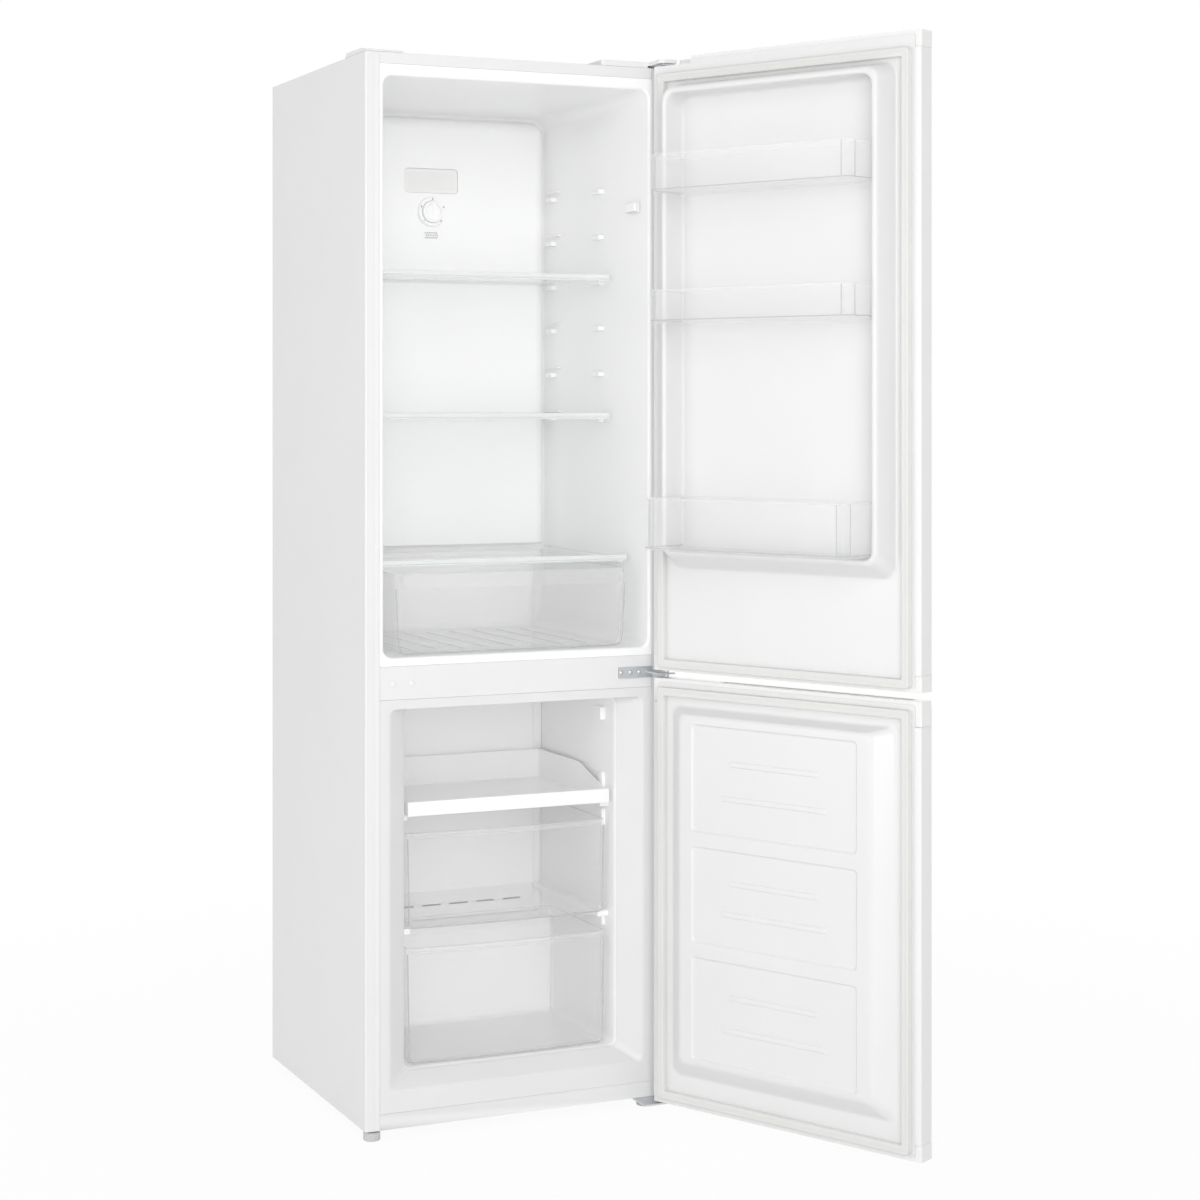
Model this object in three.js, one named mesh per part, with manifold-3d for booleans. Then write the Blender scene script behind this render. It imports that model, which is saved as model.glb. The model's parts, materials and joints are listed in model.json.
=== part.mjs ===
// Two-door bottom-freezer refrigerator. Millimetres, +Z up, the doors face -Y, hinges at +X.
// X is measured from the cabinet's middle, Y from its front face and Z from the floor. Door pieces are
// written in their closed place and their group turns them open about the hinge pins.
import * as THREE from 'three';
import { mergeVertices } from 'three/addons/utils/BufferGeometryUtils.js';
import Module from 'manifold-3d';

const wasm = await Module();
wasm.setup();

// ---- Driving dimensions ----

const FIT = 0.3; // gap between pieces that meet
const RUN = 0.1; // running clearance round a shaft or pin
const ARC_STEPS = 3; // straight runs in each rounded corner
const PIN_SIDES = 24; // sides of pins, bosses and their holes
const OVERRUN = 1; // how far a cutting form runs past the face it cuts

// Cabinet shell
const CABINET_WIDTH = 545;
const CABINET_DEPTH = 518;
const CABINET_TOP = 1790;
const BASE_HEIGHT = 18; // floor to the bottom plate
const SHEET = 0.8;
const STILE_WIDTH = 25; // steel front flange at each side
const TOP_RAIL_HEIGHT = 18.5;
const BOTTOM_RAIL_HEIGHT = 26;
const REAR_RETURN = 12;
const MULLION_LOW = 724;
const MULLION_HEIGHT = 55;
const MULLION_RETURN = 12;
const BAY_HEIGHT = 232; // floor to the top of the compressor bay
const BAY_DEPTH = 169; // compressor bay, from the rear

// Fridge compartment
const LINER = 2;
const FRIDGE_WALL = 32; // outer side to the inner wall, at the front
const FRIDGE_HEADER = 38; // cabinet top to the ceiling
const FRIDGE_SILL = 14; // mullion rail to the floor
const REAR_WALL = 68; // cabinet's rear to the compartments' rear walls
const FRIDGE_DRAFT = 6; // the walls close in by this at the back
const FRIDGE_FRONT_RADIUS = 16;
const FRIDGE_REAR_RADIUS = 28;
const DUCT_DEPTH = 30;
const DUCT_SIDE_GAP = 4.5;
const DUCT_TOP_GAP = 14;
const DUCT_RADIUS = 24;
const DUCT_WALL = 2.5;
const LAMP_WIDTH = 104;
const LAMP_HEIGHT = 45;
const LAMP_DROP = 131; // ceiling to the lamp's middle
const LENS_THICKNESS = 3;
const LENS_RECESS = 1;
const DIAL_DROP = 57; // lamp's middle to the dial's
const DIAL_RADIUS = 27;
const DIAL_DEPTH = 14;
const DIAL_RIM = 4;
const DIAL_GRIP = 7;
const SHAFT_RADIUS = 6;
const SHAFT_LENGTH = 14;
const THERMOSTAT_WIDTH = 60;
const THERMOSTAT_HEIGHT = 50;
const THERMOSTAT_DEPTH = 24;
const GRILLE_DROP = 43; // dial's middle to the grille's
const GRILLE_SLOTS = 6;
const GRILLE_PITCH = 5;
const GRILLE_SLOT_WIDTH = 2.4;
const GRILLE_SLOT_HEIGHT = 12;
const SWITCH_PLACE = 52;
const SWITCH_DROP = 199; // ceiling to the door switch
const SWITCH_LENGTH = 44;
const SWITCH_TALL = 20;
const SWITCH_DEPTH = 6;
const SWITCH_WALL = 2;
const BUTTON_PROUD = 4;
const BUTTON_TRAVEL = 3;

// Shelves and what carries them
const SHELF_LEVELS = 6;
const SHELF_FIRST_RISE = 247; // crisper cover to the lowest level
const SHELF_HEADROOM = 156; // highest level to the ceiling
const UPPER_SHELF_LEVEL = 3; // counted from the lowest level, 0
const LOWER_SHELF_LEVEL = 0;
const SHELF_FRONT = 140;
const SHELF_REAR_GAP = 2; // to the duct cover
const SHELF_SIDE_GAP = 9; // to the wall, at the front
const GLASS = 4;
const TRIM_DEPTH = 12;
const TRIM_HEIGHT = 11;
const TRIM_LIP = 3;
const BOSS_REACH = 11; // how far a shelf support stands out of the wall
const BOSS_HEIGHT = 9;
const FRONT_BOSS_PLACE = 178;
const FRONT_BOSS_LENGTH = 30;
const REAR_BOSS_BACK = 33; // from the shelf's rear edge
const REAR_BOSS_LENGTH = 28;
const HOLD_DOWN_LENGTH = 54;
const HOLD_DOWN_THICKNESS = 3;
const HOLD_DOWN_LIFT = 8; // shelf underside to the rib over it
const HOLD_DOWN_REACH = 6;
const CRISPER_COVER_RISE = 148; // fridge floor to the glass over the crisper
const CRISPER_COVER_FRONT = 68;
const CRISPER_COVER_REAR_GAP = 4;
const COVER_LEDGE_PLACE = 100;
const COVER_LEDGE_HEIGHT = 9;

// Crisper
const CRISPER_SIDE_GAP = 29;
const CRISPER_FRONT = 27;
const CRISPER_REAR_GAP = 12;
const CRISPER_TOP_GAP = 12; // under its glass cover
const CRISPER_BAND_HEIGHT = 25;
const CRISPER_BAND_DEPTH = 5;
const CRISPER_RADIUS = 12;
const CRISPER_DRAFT = 5;
const CRISPER_FOOT = 18; // bevel round its floor, inside the liner's rounded corners
const TUB_WALL = 2.5;

// Freezer compartment
const FREEZER_WALL = 80.5; // outer side to the inner wall
const FREEZER_MOUTH_WALL = 42.7; // the same where the mouth flares out
const FREEZER_SILL_HEIGHT = 62; // bottom plate to the mouth
const FREEZER_FLOOR_RISE = 26; // mouth to the floor
const FREEZER_MOUTH_DROP = 16; // mullion rail to the mouth
const FREEZER_CEILING_DROP = 19; // mullion rail to the ceiling
const FLARE_DEPTH = 32;
const FREEZER_RADIUS = 12;
const STEP_WALL = 49; // bay panel to the step over the compressor
const STEP_RISE = 46; // bay's top to the step's
const STEP_ROUND = 20; // radius of the step's front edge
const STEP_ROUND_RUNS = 3;
const TRAY_DROP = 182; // ceiling to the tray's floor
const TRAY_SIDE_GAP = 7.5;
const TRAY_REAR_GAP = 4;
const TRAY_FRONT_HEIGHT = 24;
const TRAY_REAR_HEIGHT = 54;
const TRAY_SLOPE_START = 60;
const TRAY_SLOPE_END = 165;
const DRAWER_FRONT = 38;
const DRAWER_BOW = 9; // the fronts' middle stands this far ahead of their ends
const DRAWER_RADIUS = 8;
const DRAWER_DRAFT = 3;
const DRAWER_SIDE_GAP = 10;
const DRAWER_REAR_GAP = 12;
const MIDDLE_DRAWER_RISE = 226; // floor to the ledges that carry the middle drawer
const MIDDLE_DRAWER_TOP_GAP = 30; // under the tray
const LOWER_DRAWER_TOP_GAP = 32; // under those ledges' tops
const DRAWER_RIM_REACH = 4;
const DRAWER_RIM_HEIGHT = 9;
const LEDGE_HEIGHT = 10;
const TRAY_LEDGE_REACH = 15;
const DRAWER_LEDGE_REACH = 20;
const LEDGE_PLACE = 60;
const STUD_PLACE = 73; // white wall studs just behind the flare
const STUD_LENGTH = 15;
const STUD_REACH = 6;
const STUD_HEIGHT = 31;
const STUD_GAP = 16; // from the ceiling and the tray to their studs
const LOW_STUD_HEIGHT = 19;

// Evaporator and fan
const EVAPORATOR_COVER_DEPTH = 100;
const EVAPORATOR_COVER_SIDE_GAP = 14;
const EVAPORATOR_SIDE_GAP = 28;
const EVAPORATOR_FRONT_GAP = 32;
const EVAPORATOR_THICKNESS = 50;
const EVAPORATOR_RISE = 35; // step to the fins
const EVAPORATOR_TOP_GAP = 47; // fins to the fan
const FIN = 1.5;
const FIN_COUNT = 11;
const COOLANT_TUBE_RADIUS = 5;
const COOLANT_TUBES = 3;
const SLOT_COUNT = 6;
const SLOT_PITCH = 52;
const SLOT_LENGTH = 40;
const SLOT_HEIGHT = 6;
const FAN_DROP = 93; // ceiling to the fan's middle
const FAN_RADIUS = 55;
const FAN_HUB_RADIUS = 15;
const FAN_DEPTH = 18;
const FAN_BLADES = 5;
const FAN_BLADE = 2;
const FAN_CHORD = 14.4;
const FAN_PITCH_ANGLE = Math.PI / 6;
const MOTOR_RADIUS = 26;
const MOTOR_DEPTH = 26;
const MOTOR_SHAFT_RADIUS = 3;
const MOTOR_SHAFT_LENGTH = 16;

// Compressor, feet and rollers
const COMPRESSOR_OFFSET = 90; // from the cabinet's middle, towards the hinges
const COMPRESSOR_RADIUS = 70;
const COMPRESSOR_STRETCH = 1.25; // longer than it is deep
const COMPRESSOR_HEIGHT = 145;
const COMPRESSOR_WALL = 12; // with its motor and pump
const COMPRESSOR_PORT_RADIUS = 4;
const COMPRESSOR_FOOT_HEIGHT = 12;
const COMPRESSOR_FOOT_REACH = 12;
const PIPE_RADIUS = 4;
const PIPE_SIDES = 8;
const PIPE_STEPS = 24;
const SUCTION_PIPE_REACH = 60; // from the compressor's end to where the pipe rises
const DRIER_PIPE_REACH = 150;
const DRIER_RADIUS = 9;
const DRIER_LENGTH = 85;
const DRIP_TRAY_HEIGHT = 16;
const DRIP_TRAY_HALF_WIDTH = 80;
const DRIP_TRAY_HALF_DEPTH = 60;
const FOOT_RADIUS = 14;
const FOOT_HEIGHT = 14;
const FOOT_STEM_RADIUS = 5;
const FOOT_STEM_REACH = 14; // above the bottom plate's underside
const LEFT_FOOT_INSET = 17;
const RIGHT_FOOT_INSET = 31;
const FOOT_PLACE = 17; // behind the front face
const ROLLER_RADIUS = 13;
const ROLLER_WIDTH = 13;
const ROLLER_INSET = 44;
const ROLLER_BACK = 40; // ahead of the rear
const AXLE_RADIUS = 3;
const BRACKET_SHEET = 2;

// Hinges and the caps on the cabinet's top
const PIVOT_INSET = 13.2; // hinge pins, in from the cabinet's right side
const PIVOT_AHEAD = 33.7; // and ahead of its front face
const DOOR_ANGLE = THREE.MathUtils.degToRad(115.2); // how far both doors stand open
const PIN_RADIUS = 4.5;
const PIN_REACH = 16; // into each door cap
const HINGE_PLATE = 3;
const TOP_PLATE_LENGTH = 90;
const TOP_PLATE_DEPTH = 50;
const ARM_HALF_WIDTH = 11;
const ARM_NOSE = 11;
const MIDDLE_PLATE_OVERLAP = 2.5; // past the doors' gap, above and below
const MIDDLE_PLATE_LENGTH = 64;
const HINGE_COVER_WIDTH = 119;
const HINGE_COVER_DEPTH = 74;
const HINGE_COVER_WALL = 3;
const COVER_NOSE_MARGIN = 7; // beside the hinge's arm
const CAP_WIDTH = 67; // blank cap at the left corner
const CAP_DEPTH = 106;
const CAP_FRONT_HEIGHT = 3;
const CAP_HEIGHT = 8.5;
const CAP_SLOPE = 24;
const PLUG_RADIUS = 5;
const PLUG_HEAD = 1.5;
const PLUG_PLACES = [48, 81]; // from the cabinet's left side

// Doors, in their closed place
const DOOR_SIDE_GAP = 2; // each side, inside the cabinet's width
const DOOR_THICKNESS = 38;
const SEAL_GAP = 10; // cabinet face to the door's inner rim
const DOOR_OVER_TOP = 10; // above the cabinet's top
const DOOR_GAP = 13.5; // between the doors
const DOOR_GAP_DROP = 1.2; // its middle, below the mullion's
const DOOR_UNDER_GAP = 2; // above the cabinet's bottom plate
const DOOR_CORNER = 8;
const EDGE_ROLL = 10; // width of the rolled inner edge
const EDGE_ROLL_DROP = 4;
const SKIN_LIP = 12;
const DOOR_CAP_HEIGHT = 27;
const GRIP_CAP_HEIGHT = 40;
const DOOR_CAP_WALL = 3;
const CAP_BLOCK = 40; // solid end of a cap round its hinge pin
const NOTCH_WIDTH = 82;
const NOTCH_DEPTH = 13;
const GRIP_CHAMFER = 7;
const GRIP_CHAMFER_HEIGHT = 32;
const GRIP_CHANNEL = 15;
const GRIP_CHANNEL_DEPTH = 24;
const GRIP_LIP = 3;
const GRIP_INSET = 25;
const GRIP_LENGTH = 380;
const LINER_EDGE = 6; // door top or bottom to the edge of its liner
const GASKET_INSET = 18; // cabinet side to the gasket's outer edge
const GASKET_WIDTH = 15;
const GASKET_RADIUS = 6;
const UPPER_GASKET_RISE = 6; // upper door's lower edge to its gasket
const UPPER_GASKET_DROP = 27;
const LOWER_GASKET_RISE = 10;
const LOWER_GASKET_DROP = 13.5;

// Upper door liner: a dyke round the bins, a plain raised panel below
const DYKE_INSET = 47; // cabinet side to the dyke's foot
const DYKE_TAPER = 8;
const DYKE_HEIGHT = 45;
const DYKE_WIDTH = 19; // foot to the recess wall
const DYKE_DROP = 49; // door top to the dyke
const DYKE_UNDER_COVER = 6; // the dyke starts this far below the crisper's glass
const DYKE_LOW_TAPER = 22;
const DYKE_RADIUS = 22;
const RECESS_LOW_RADIUS = 4; // sharper corners below, under the bottom bin
const PANEL_INSET = 62;
const PANEL_LIFT = 26; // door's lower edge to the panel
const PANEL_GAP = 7; // panel to the dyke
const PANEL_RISE = 8;
const PANEL_RADIUS = 10;

// Lower door liner: a raised field with three sunk panels
const FIELD_INSET = 48;
const FIELD_TAPER = 30;
const FIELD_RISE = 25;
const FIELD_LIFT = 56; // door's lower edge to the field
const FIELD_DROP = 43.5; // door's upper edge to the field
const FIELD_TOP_TAPER = 12;
const FIELD_RADIUS = 16;
const FIELD_WALL = 6;
const SUNK_INSET = 105;
const SUNK_DEPTH = 3;
const SUNK_GAP = 23;
const SUNK_LOW_MARGIN = 38;
const SUNK_HIGH_MARGIN = 24;
const SUNK_SHARES = [0.335, 0.314, 0.351]; // lowest panel first
const SUNK_RADIUS = 7;

// Door bins
const BIN_DEPTH = 96;
const BIN_WALL = 2;
const BIN_RADIUS = 16;
const BIN_CLEARANCE = 2.5;
const BIN_HEIGHTS = [64, 56, 88]; // top, middle and bottom bin
const TOP_BIN_DROP = 238; // door top to the top bin's floor
const MIDDLE_BIN_SHARE = 0.635; // its place between the bottom and top bins
const BOTTOM_BIN_LIFT = 3; // above the recess's lower wall
const BOTTOM_BIN_EXTRA = 13; // the bottom bin is this much deeper
const BIN_SEAT_REACH = 5;
const BIN_SEAT_HEIGHT = 8;
const BIN_SEAT_LENGTH = 30;

// ---- Derived places ----

const HALF = CABINET_WIDTH / 2;
const INNER_HALF = HALF - SHEET - FIT; // inside the side panels
const FACE_HALF = HALF - STILE_WIDTH - FIT; // between the stiles
const INNER_REAR = CABINET_DEPTH - SHEET - FIT;
const PIVOT_X = HALF - PIVOT_INSET;
const PIVOT_Y = -PIVOT_AHEAD;
const BAY_FRONT = CABINET_DEPTH - BAY_DEPTH;
const COMPARTMENT_DEPTH = CABINET_DEPTH - REAR_WALL;
const MULLION_HIGH = MULLION_LOW + MULLION_HEIGHT;

const FRIDGE_FLOOR = MULLION_HIGH + FRIDGE_SILL;
const FRIDGE_CEILING = CABINET_TOP - FRIDGE_HEADER;
const FRIDGE_HALF = HALF - FRIDGE_WALL; // at the front
const fridgeHalfAt = (y) => FRIDGE_HALF - (FRIDGE_DRAFT * y) / COMPARTMENT_DEPTH;
const DUCT_FRONT = COMPARTMENT_DEPTH - DUCT_DEPTH;
const CRISPER_COVER_HEIGHT = FRIDGE_FLOOR + CRISPER_COVER_RISE;
const SHELF_FIRST_LEVEL = CRISPER_COVER_HEIGHT + SHELF_FIRST_RISE;
const SHELF_PITCH = (FRIDGE_CEILING - SHELF_HEADROOM - SHELF_FIRST_LEVEL) / (SHELF_LEVELS - 1);
const shelfHeight = (level) => SHELF_FIRST_LEVEL + SHELF_PITCH * level;
const SHELF_HALF = FRIDGE_HALF - SHELF_SIDE_GAP;
const SHELF_REAR = DUCT_FRONT - SHELF_REAR_GAP;
const LAMP_CENTRE = FRIDGE_CEILING - LAMP_DROP;
const DIAL_HEIGHT = LAMP_CENTRE - DIAL_DROP;
const GRILLE_HEIGHT = DIAL_HEIGHT - GRILLE_DROP;
const SWITCH_HEIGHT = FRIDGE_CEILING - SWITCH_DROP;

const FREEZER_HALF = HALF - FREEZER_WALL;
const FREEZER_SILL = BASE_HEIGHT + FREEZER_SILL_HEIGHT;
const FREEZER_FLOOR = FREEZER_SILL + FREEZER_FLOOR_RISE;
const FREEZER_CEILING = MULLION_LOW - FREEZER_CEILING_DROP;
const STEP_DEPTH = BAY_FRONT - STEP_WALL;
const STEP_HEIGHT = BAY_HEIGHT + STEP_RISE;
const TRAY_FLOOR = FREEZER_CEILING - TRAY_DROP;
const TRAY_HALF = FREEZER_HALF - TRAY_SIDE_GAP;
const DRAWER_LEDGE_TOP = FREEZER_FLOOR + MIDDLE_DRAWER_RISE;
const EVAPORATOR_COVER_FRONT = COMPARTMENT_DEPTH - EVAPORATOR_COVER_DEPTH;
const FREEZER_REAR = EVAPORATOR_COVER_FRONT - TRAY_REAR_GAP; // rear edge of the tray and the ledges
const FAN_HEIGHT = FREEZER_CEILING - FAN_DROP;

const DOOR_HALF = HALF - DOOR_SIDE_GAP;
const RIM = -SEAL_GAP; // Y of the doors' inner rim
const DOOR_FACE = RIM - DOOR_THICKNESS; // Y of the doors' outer face
const LINER_BACK = RIM - LINER; // Y where a door liner's flange lies on the skin
const LINER_HALF = DOOR_HALF - EDGE_ROLL - FIT;
const DOOR_TOP = CABINET_TOP + DOOR_OVER_TOP;
const DOOR_GAP_MIDDLE = MULLION_LOW + MULLION_HEIGHT / 2 - DOOR_GAP_DROP;
const DOOR_SPLIT_HIGH = DOOR_GAP_MIDDLE + DOOR_GAP / 2;
const DOOR_SPLIT_LOW = DOOR_GAP_MIDDLE - DOOR_GAP / 2;
const DOOR_BOTTOM = BASE_HEIGHT + DOOR_UNDER_GAP;
const NOTCH_FLOOR = DOOR_TOP - NOTCH_DEPTH;
const DYKE_LOW = CRISPER_COVER_HEIGHT - DYKE_UNDER_COVER;
const DYKE_HIGH = DOOR_TOP - DYKE_DROP;
const RECESS_HALF = HALF - DYKE_INSET - DYKE_WIDTH;
const RECESS_LOW = DYKE_LOW + DYKE_LOW_TAPER + DYKE_TAPER;
const BOTTOM_BIN_FLOOR = RECESS_LOW + BOTTOM_BIN_LIFT;
const TOP_BIN_FLOOR = DOOR_TOP - TOP_BIN_DROP;
const MIDDLE_BIN_FLOOR = BOTTOM_BIN_FLOOR + (TOP_BIN_FLOOR - BOTTOM_BIN_FLOOR) * MIDDLE_BIN_SHARE;
const BIN_FLOORS = [TOP_BIN_FLOOR, MIDDLE_BIN_FLOOR, BOTTOM_BIN_FLOOR];
const FIELD_LOW = DOOR_BOTTOM + FIELD_LIFT;
const FIELD_HIGH = DOOR_SPLIT_LOW - FIELD_DROP;

// ---- Finishes ----

const finish = (color, roughness, metalness = 0, opacity = 1) =>
  new THREE.MeshStandardMaterial({ color, roughness, metalness, opacity, transparent: opacity < 1 });
const whiteEnamel = finish(0xf3f3f2, 0.35, 0.1);
const whitePlastic = finish(0xf4f4f3, 0.45);
const linerPlastic = finish(0xf1f2f2, 0.3);
const clearPlastic = finish(0xe6ecee, 0.12, 0, 0.4);
const shelfGlass = finish(0xdfeae6, 0.05, 0, 0.35);
const sealRubber = finish(0xe9e9e7, 0.7);
const blackRubber = finish(0x222222, 0.8);
const blackPlastic = finish(0x1d1d1f, 0.5);
const greyPlastic = finish(0xc6c7c7, 0.5);
const zincSteel = finish(0xb9bcc0, 0.4, 0.9);
const galvanised = finish(0xc4c7c9, 0.5, 0.8);
const aluminium = finish(0xcfd2d4, 0.35, 1);
const blackEnamel = finish(0x161616, 0.45, 0.2);

// ---- Form helpers ----

function toSolid(geometry) {
  const plain = geometry.clone();
  plain.deleteAttribute('normal');
  plain.deleteAttribute('uv');
  const merged = mergeVertices(plain, 1e-4);
  const vertProperties = Float32Array.from(merged.attributes.position.array);
  const triVerts = Uint32Array.from(merged.index.array);
  return new wasm.Manifold(new wasm.Mesh({ numProp: 3, vertProperties, triVerts }));
}

function toGeometry(solid) {
  const mesh = solid.getMesh();
  const geometry = new THREE.BufferGeometry();
  geometry.setAttribute('position', new THREE.BufferAttribute(Float32Array.from(mesh.vertProperties), 3));
  geometry.setIndex(new THREE.BufferAttribute(Uint32Array.from(mesh.triVerts), 1));
  geometry.computeVertexNormals();
  return geometry;
}

const join = (first, ...rest) =>
  toGeometry(rest.reduce((sum, geometry) => sum.add(toSolid(geometry)), toSolid(first)));
const cut = (first, ...tools) =>
  toGeometry(tools.reduce((left, geometry) => left.subtract(toSolid(geometry)), toSolid(first)));

function block(x0, x1, y0, y1, z0, z1) {
  const geometry = new THREE.BoxGeometry(x1 - x0, y1 - y0, z1 - z0);
  return geometry.translate((x0 + x1) / 2, (y0 + y1) / 2, (z0 + z1) / 2);
}

const outline = (points) => new THREE.Shape(points.map(([a, b]) => new THREE.Vector2(a, b)));
const extrude = (shape, depth) =>
  new THREE.ExtrudeGeometry(shape, { depth, bevelEnabled: false, curveSegments: ARC_STEPS });

// An outline in X and Y, raised along Z.
const prismZ = (points, z0, z1) => extrude(outline(points), z1 - z0).translate(0, 0, z0);

// An outline in Y and Z, drawn out along X.
function prismX(points, x0, x1) {
  const turn = new THREE.Matrix4().makeBasis(
    new THREE.Vector3(0, 1, 0),
    new THREE.Vector3(0, 0, 1),
    new THREE.Vector3(1, 0, 0),
  );
  return extrude(outline(points), x1 - x0).applyMatrix4(turn).translate(x0, 0, 0);
}

// Round bars along Z and along Y.
const rodZ = (radius, x, y, z0, z1, sides = PIN_SIDES) =>
  new THREE.CylinderGeometry(radius, radius, z1 - z0, sides)
    .rotateX(Math.PI / 2)
    .translate(x, y, (z0 + z1) / 2);
const rodY = (radius, x, z, y0, y1, sides = PIN_SIDES) =>
  new THREE.CylinderGeometry(radius, radius, y1 - y0, sides).translate(x, (y0 + y1) / 2, z);
const rodX = (radius, y, z, x0, x1, sides = PIN_SIDES) =>
  new THREE.CylinderGeometry(radius, radius, x1 - x0, sides)
    .rotateZ(Math.PI / 2)
    .translate((x0 + x1) / 2, y, z);

// A ring of points in the plane y: a rectangle with rounded upper and lower corners, in order round it.
function ringFacing(half, low, high, radius, y, lowRadius = radius) {
  const corners = [
    [half - radius, high - radius, radius],
    [radius - half, high - radius, radius],
    [lowRadius - half, low + lowRadius, lowRadius],
    [half - lowRadius, low + lowRadius, lowRadius],
  ];
  return corners.flatMap(([x, z, r], quarter) =>
    Array.from({ length: ARC_STEPS + 1 }, (_, step) => {
      const angle = (quarter + step / ARC_STEPS) * (Math.PI / 2);
      return new THREE.Vector3(x + r * Math.cos(angle), y, z + r * Math.sin(angle));
    }),
  );
}

// A closed body through rings of equal point counts, with flat ends.
function loft(rings) {
  const count = rings[0].length;
  const index = [];
  for (let ring = 0; ring + 1 < rings.length; ring += 1) {
    for (let i = 0; i < count; i += 1) {
      const a = ring * count + i;
      const b = ring * count + ((i + 1) % count);
      index.push(a, b, b + count, a, b + count, a + count);
    }
  }
  const last = (rings.length - 1) * count;
  for (let i = 1; i + 1 < count; i += 1) {
    index.push(0, i + 1, i, last, last + i, last + i + 1);
  }
  const points = rings.flat();
  let volume = 0;
  for (let i = 0; i < index.length; i += 3) {
    const [a, b, c] = [points[index[i]], points[index[i + 1]], points[index[i + 2]]];
    volume += a.dot(new THREE.Vector3().crossVectors(b, c));
  }
  if (volume < 0) {
    index.reverse();
  }
  const geometry = new THREE.BufferGeometry().setFromPoints(points);
  geometry.setIndex(index);
  geometry.computeVertexNormals();
  return geometry;
}

// A rounded frame lying in the door's plane, from its outer edge inwards by width.
function frame(half, low, high, radius, width, y0, y1) {
  const outer = loft([ringFacing(half, low, high, radius, y0), ringFacing(half, low, high, radius, y1)]);
  const innerRing = (y) =>
    ringFacing(half - width, low + width, high - width, Math.max(radius - width / 2, 1), y);
  return cut(outer, loft([innerRing(y0 - OVERRUN), innerRing(y1 + OVERRUN)]));
}

const group = new THREE.Group();

function piece(parent, name, geometry, material) {
  const mesh = new THREE.Mesh(geometry, material);
  mesh.name = name;
  parent.add(mesh);
}

// ---- Cabinet shell ----

function sidePanel(side) {
  const rear = CABINET_DEPTH;
  const points = [
    [HALF, 0],
    [HALF, rear],
    [HALF - REAR_RETURN, rear],
    [HALF - REAR_RETURN, rear - SHEET],
    [HALF - SHEET, rear - SHEET],
    [HALF - SHEET, SHEET],
    [HALF - STILE_WIDTH, SHEET],
    [HALF - STILE_WIDTH, 0],
  ];
  return prismZ(points.map(([x, y]) => [side * x, y]), BASE_HEIGHT, CABINET_TOP - SHEET);
}

function topPanel() {
  const plate = block(-HALF, HALF, 0, CABINET_DEPTH, CABINET_TOP - SHEET, CABINET_TOP);
  const rail = block(-FACE_HALF, FACE_HALF, 0, SHEET, CABINET_TOP - TOP_RAIL_HEIGHT, CABINET_TOP);
  return join(plate, rail);
}

const footPlaces = [
  ['foot_left', -HALF + LEFT_FOOT_INSET],
  ['foot_right', HALF - RIGHT_FOOT_INSET],
];

function bottomPlate() {
  const high = BASE_HEIGHT + SHEET;
  const plate = block(-INNER_HALF, INNER_HALF, SHEET + FIT, BAY_FRONT - FIT, BASE_HEIGHT, high);
  const lip = block(-FACE_HALF, FACE_HALF, 0, SHEET + FIT + OVERRUN, BASE_HEIGHT, high);
  const rail = block(-FACE_HALF, FACE_HALF, 0, SHEET, BASE_HEIGHT, BASE_HEIGHT + BOTTOM_RAIL_HEIGHT);
  const holes = footPlaces.map(([, x]) =>
    rodZ(FOOT_STEM_RADIUS + RUN, x, FOOT_PLACE, BASE_HEIGHT - OVERRUN, high + OVERRUN),
  );
  return cut(join(plate, lip, rail), ...holes);
}

function rearPanel() {
  const [low, high] = [BAY_HEIGHT + FIT, CABINET_TOP - SHEET - FIT];
  return block(-INNER_HALF, INNER_HALF, INNER_REAR - SHEET, INNER_REAR, low, high);
}

function bayPanel() {
  const points = [
    [BAY_FRONT, BASE_HEIGHT],
    [BAY_FRONT, BAY_HEIGHT],
    [INNER_REAR, BAY_HEIGHT],
    [INNER_REAR, BAY_HEIGHT - SHEET],
    [BAY_FRONT + SHEET, BAY_HEIGHT - SHEET],
    [BAY_FRONT + SHEET, BASE_HEIGHT],
  ];
  return prismX(points, -INNER_HALF, INNER_HALF);
}

function mullionRail() {
  const points = [
    [0, MULLION_LOW],
    [0, MULLION_HIGH],
    [MULLION_RETURN, MULLION_HIGH],
    [MULLION_RETURN, MULLION_HIGH - SHEET],
    [SHEET, MULLION_HIGH - SHEET],
    [SHEET, MULLION_LOW + SHEET],
    [MULLION_RETURN, MULLION_LOW + SHEET],
    [MULLION_RETURN, MULLION_LOW],
  ];
  return prismX(points, -FACE_HALF, FACE_HALF);
}

const plateTop = ROLLER_RADIUS * 2 + BRACKET_SHEET * 2; // upper face of the compressor's base plate
const rollerY = CABINET_DEPTH - ROLLER_BACK;
const rollerX = HALF - ROLLER_INSET;
const cheekInner = ROLLER_WIDTH / 2 + FIT;
const cheekOuter = cheekInner + BRACKET_SHEET;

function compressorBase() {
  const front = BAY_FRONT + SHEET + FIT;
  const plate = block(-INNER_HALF, INNER_HALF, front, INNER_REAR, plateTop - BRACKET_SHEET, plateTop);
  const cheeks = [-1, 1].flatMap((side) =>
    [-1, 1].map((face) => {
      const [a, b] = [cheekInner * face, cheekOuter * face].sort((p, q) => p - q);
      const x = side * rollerX;
      const cheekLow = ROLLER_RADIUS - AXLE_RADIUS * 2;
      const halfLength = AXLE_RADIUS * 4;
      return block(x + a, x + b, rollerY - halfLength, rollerY + halfLength, cheekLow, plateTop);
    }),
  );
  const bores = [-1, 1].map((side) => {
    const reach = cheekOuter + OVERRUN;
    const x = side * rollerX;
    return rodX(AXLE_RADIUS + RUN, rollerY, ROLLER_RADIUS, x - reach, x + reach);
  });
  return cut(join(plate, ...cheeks), ...bores);
}

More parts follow.
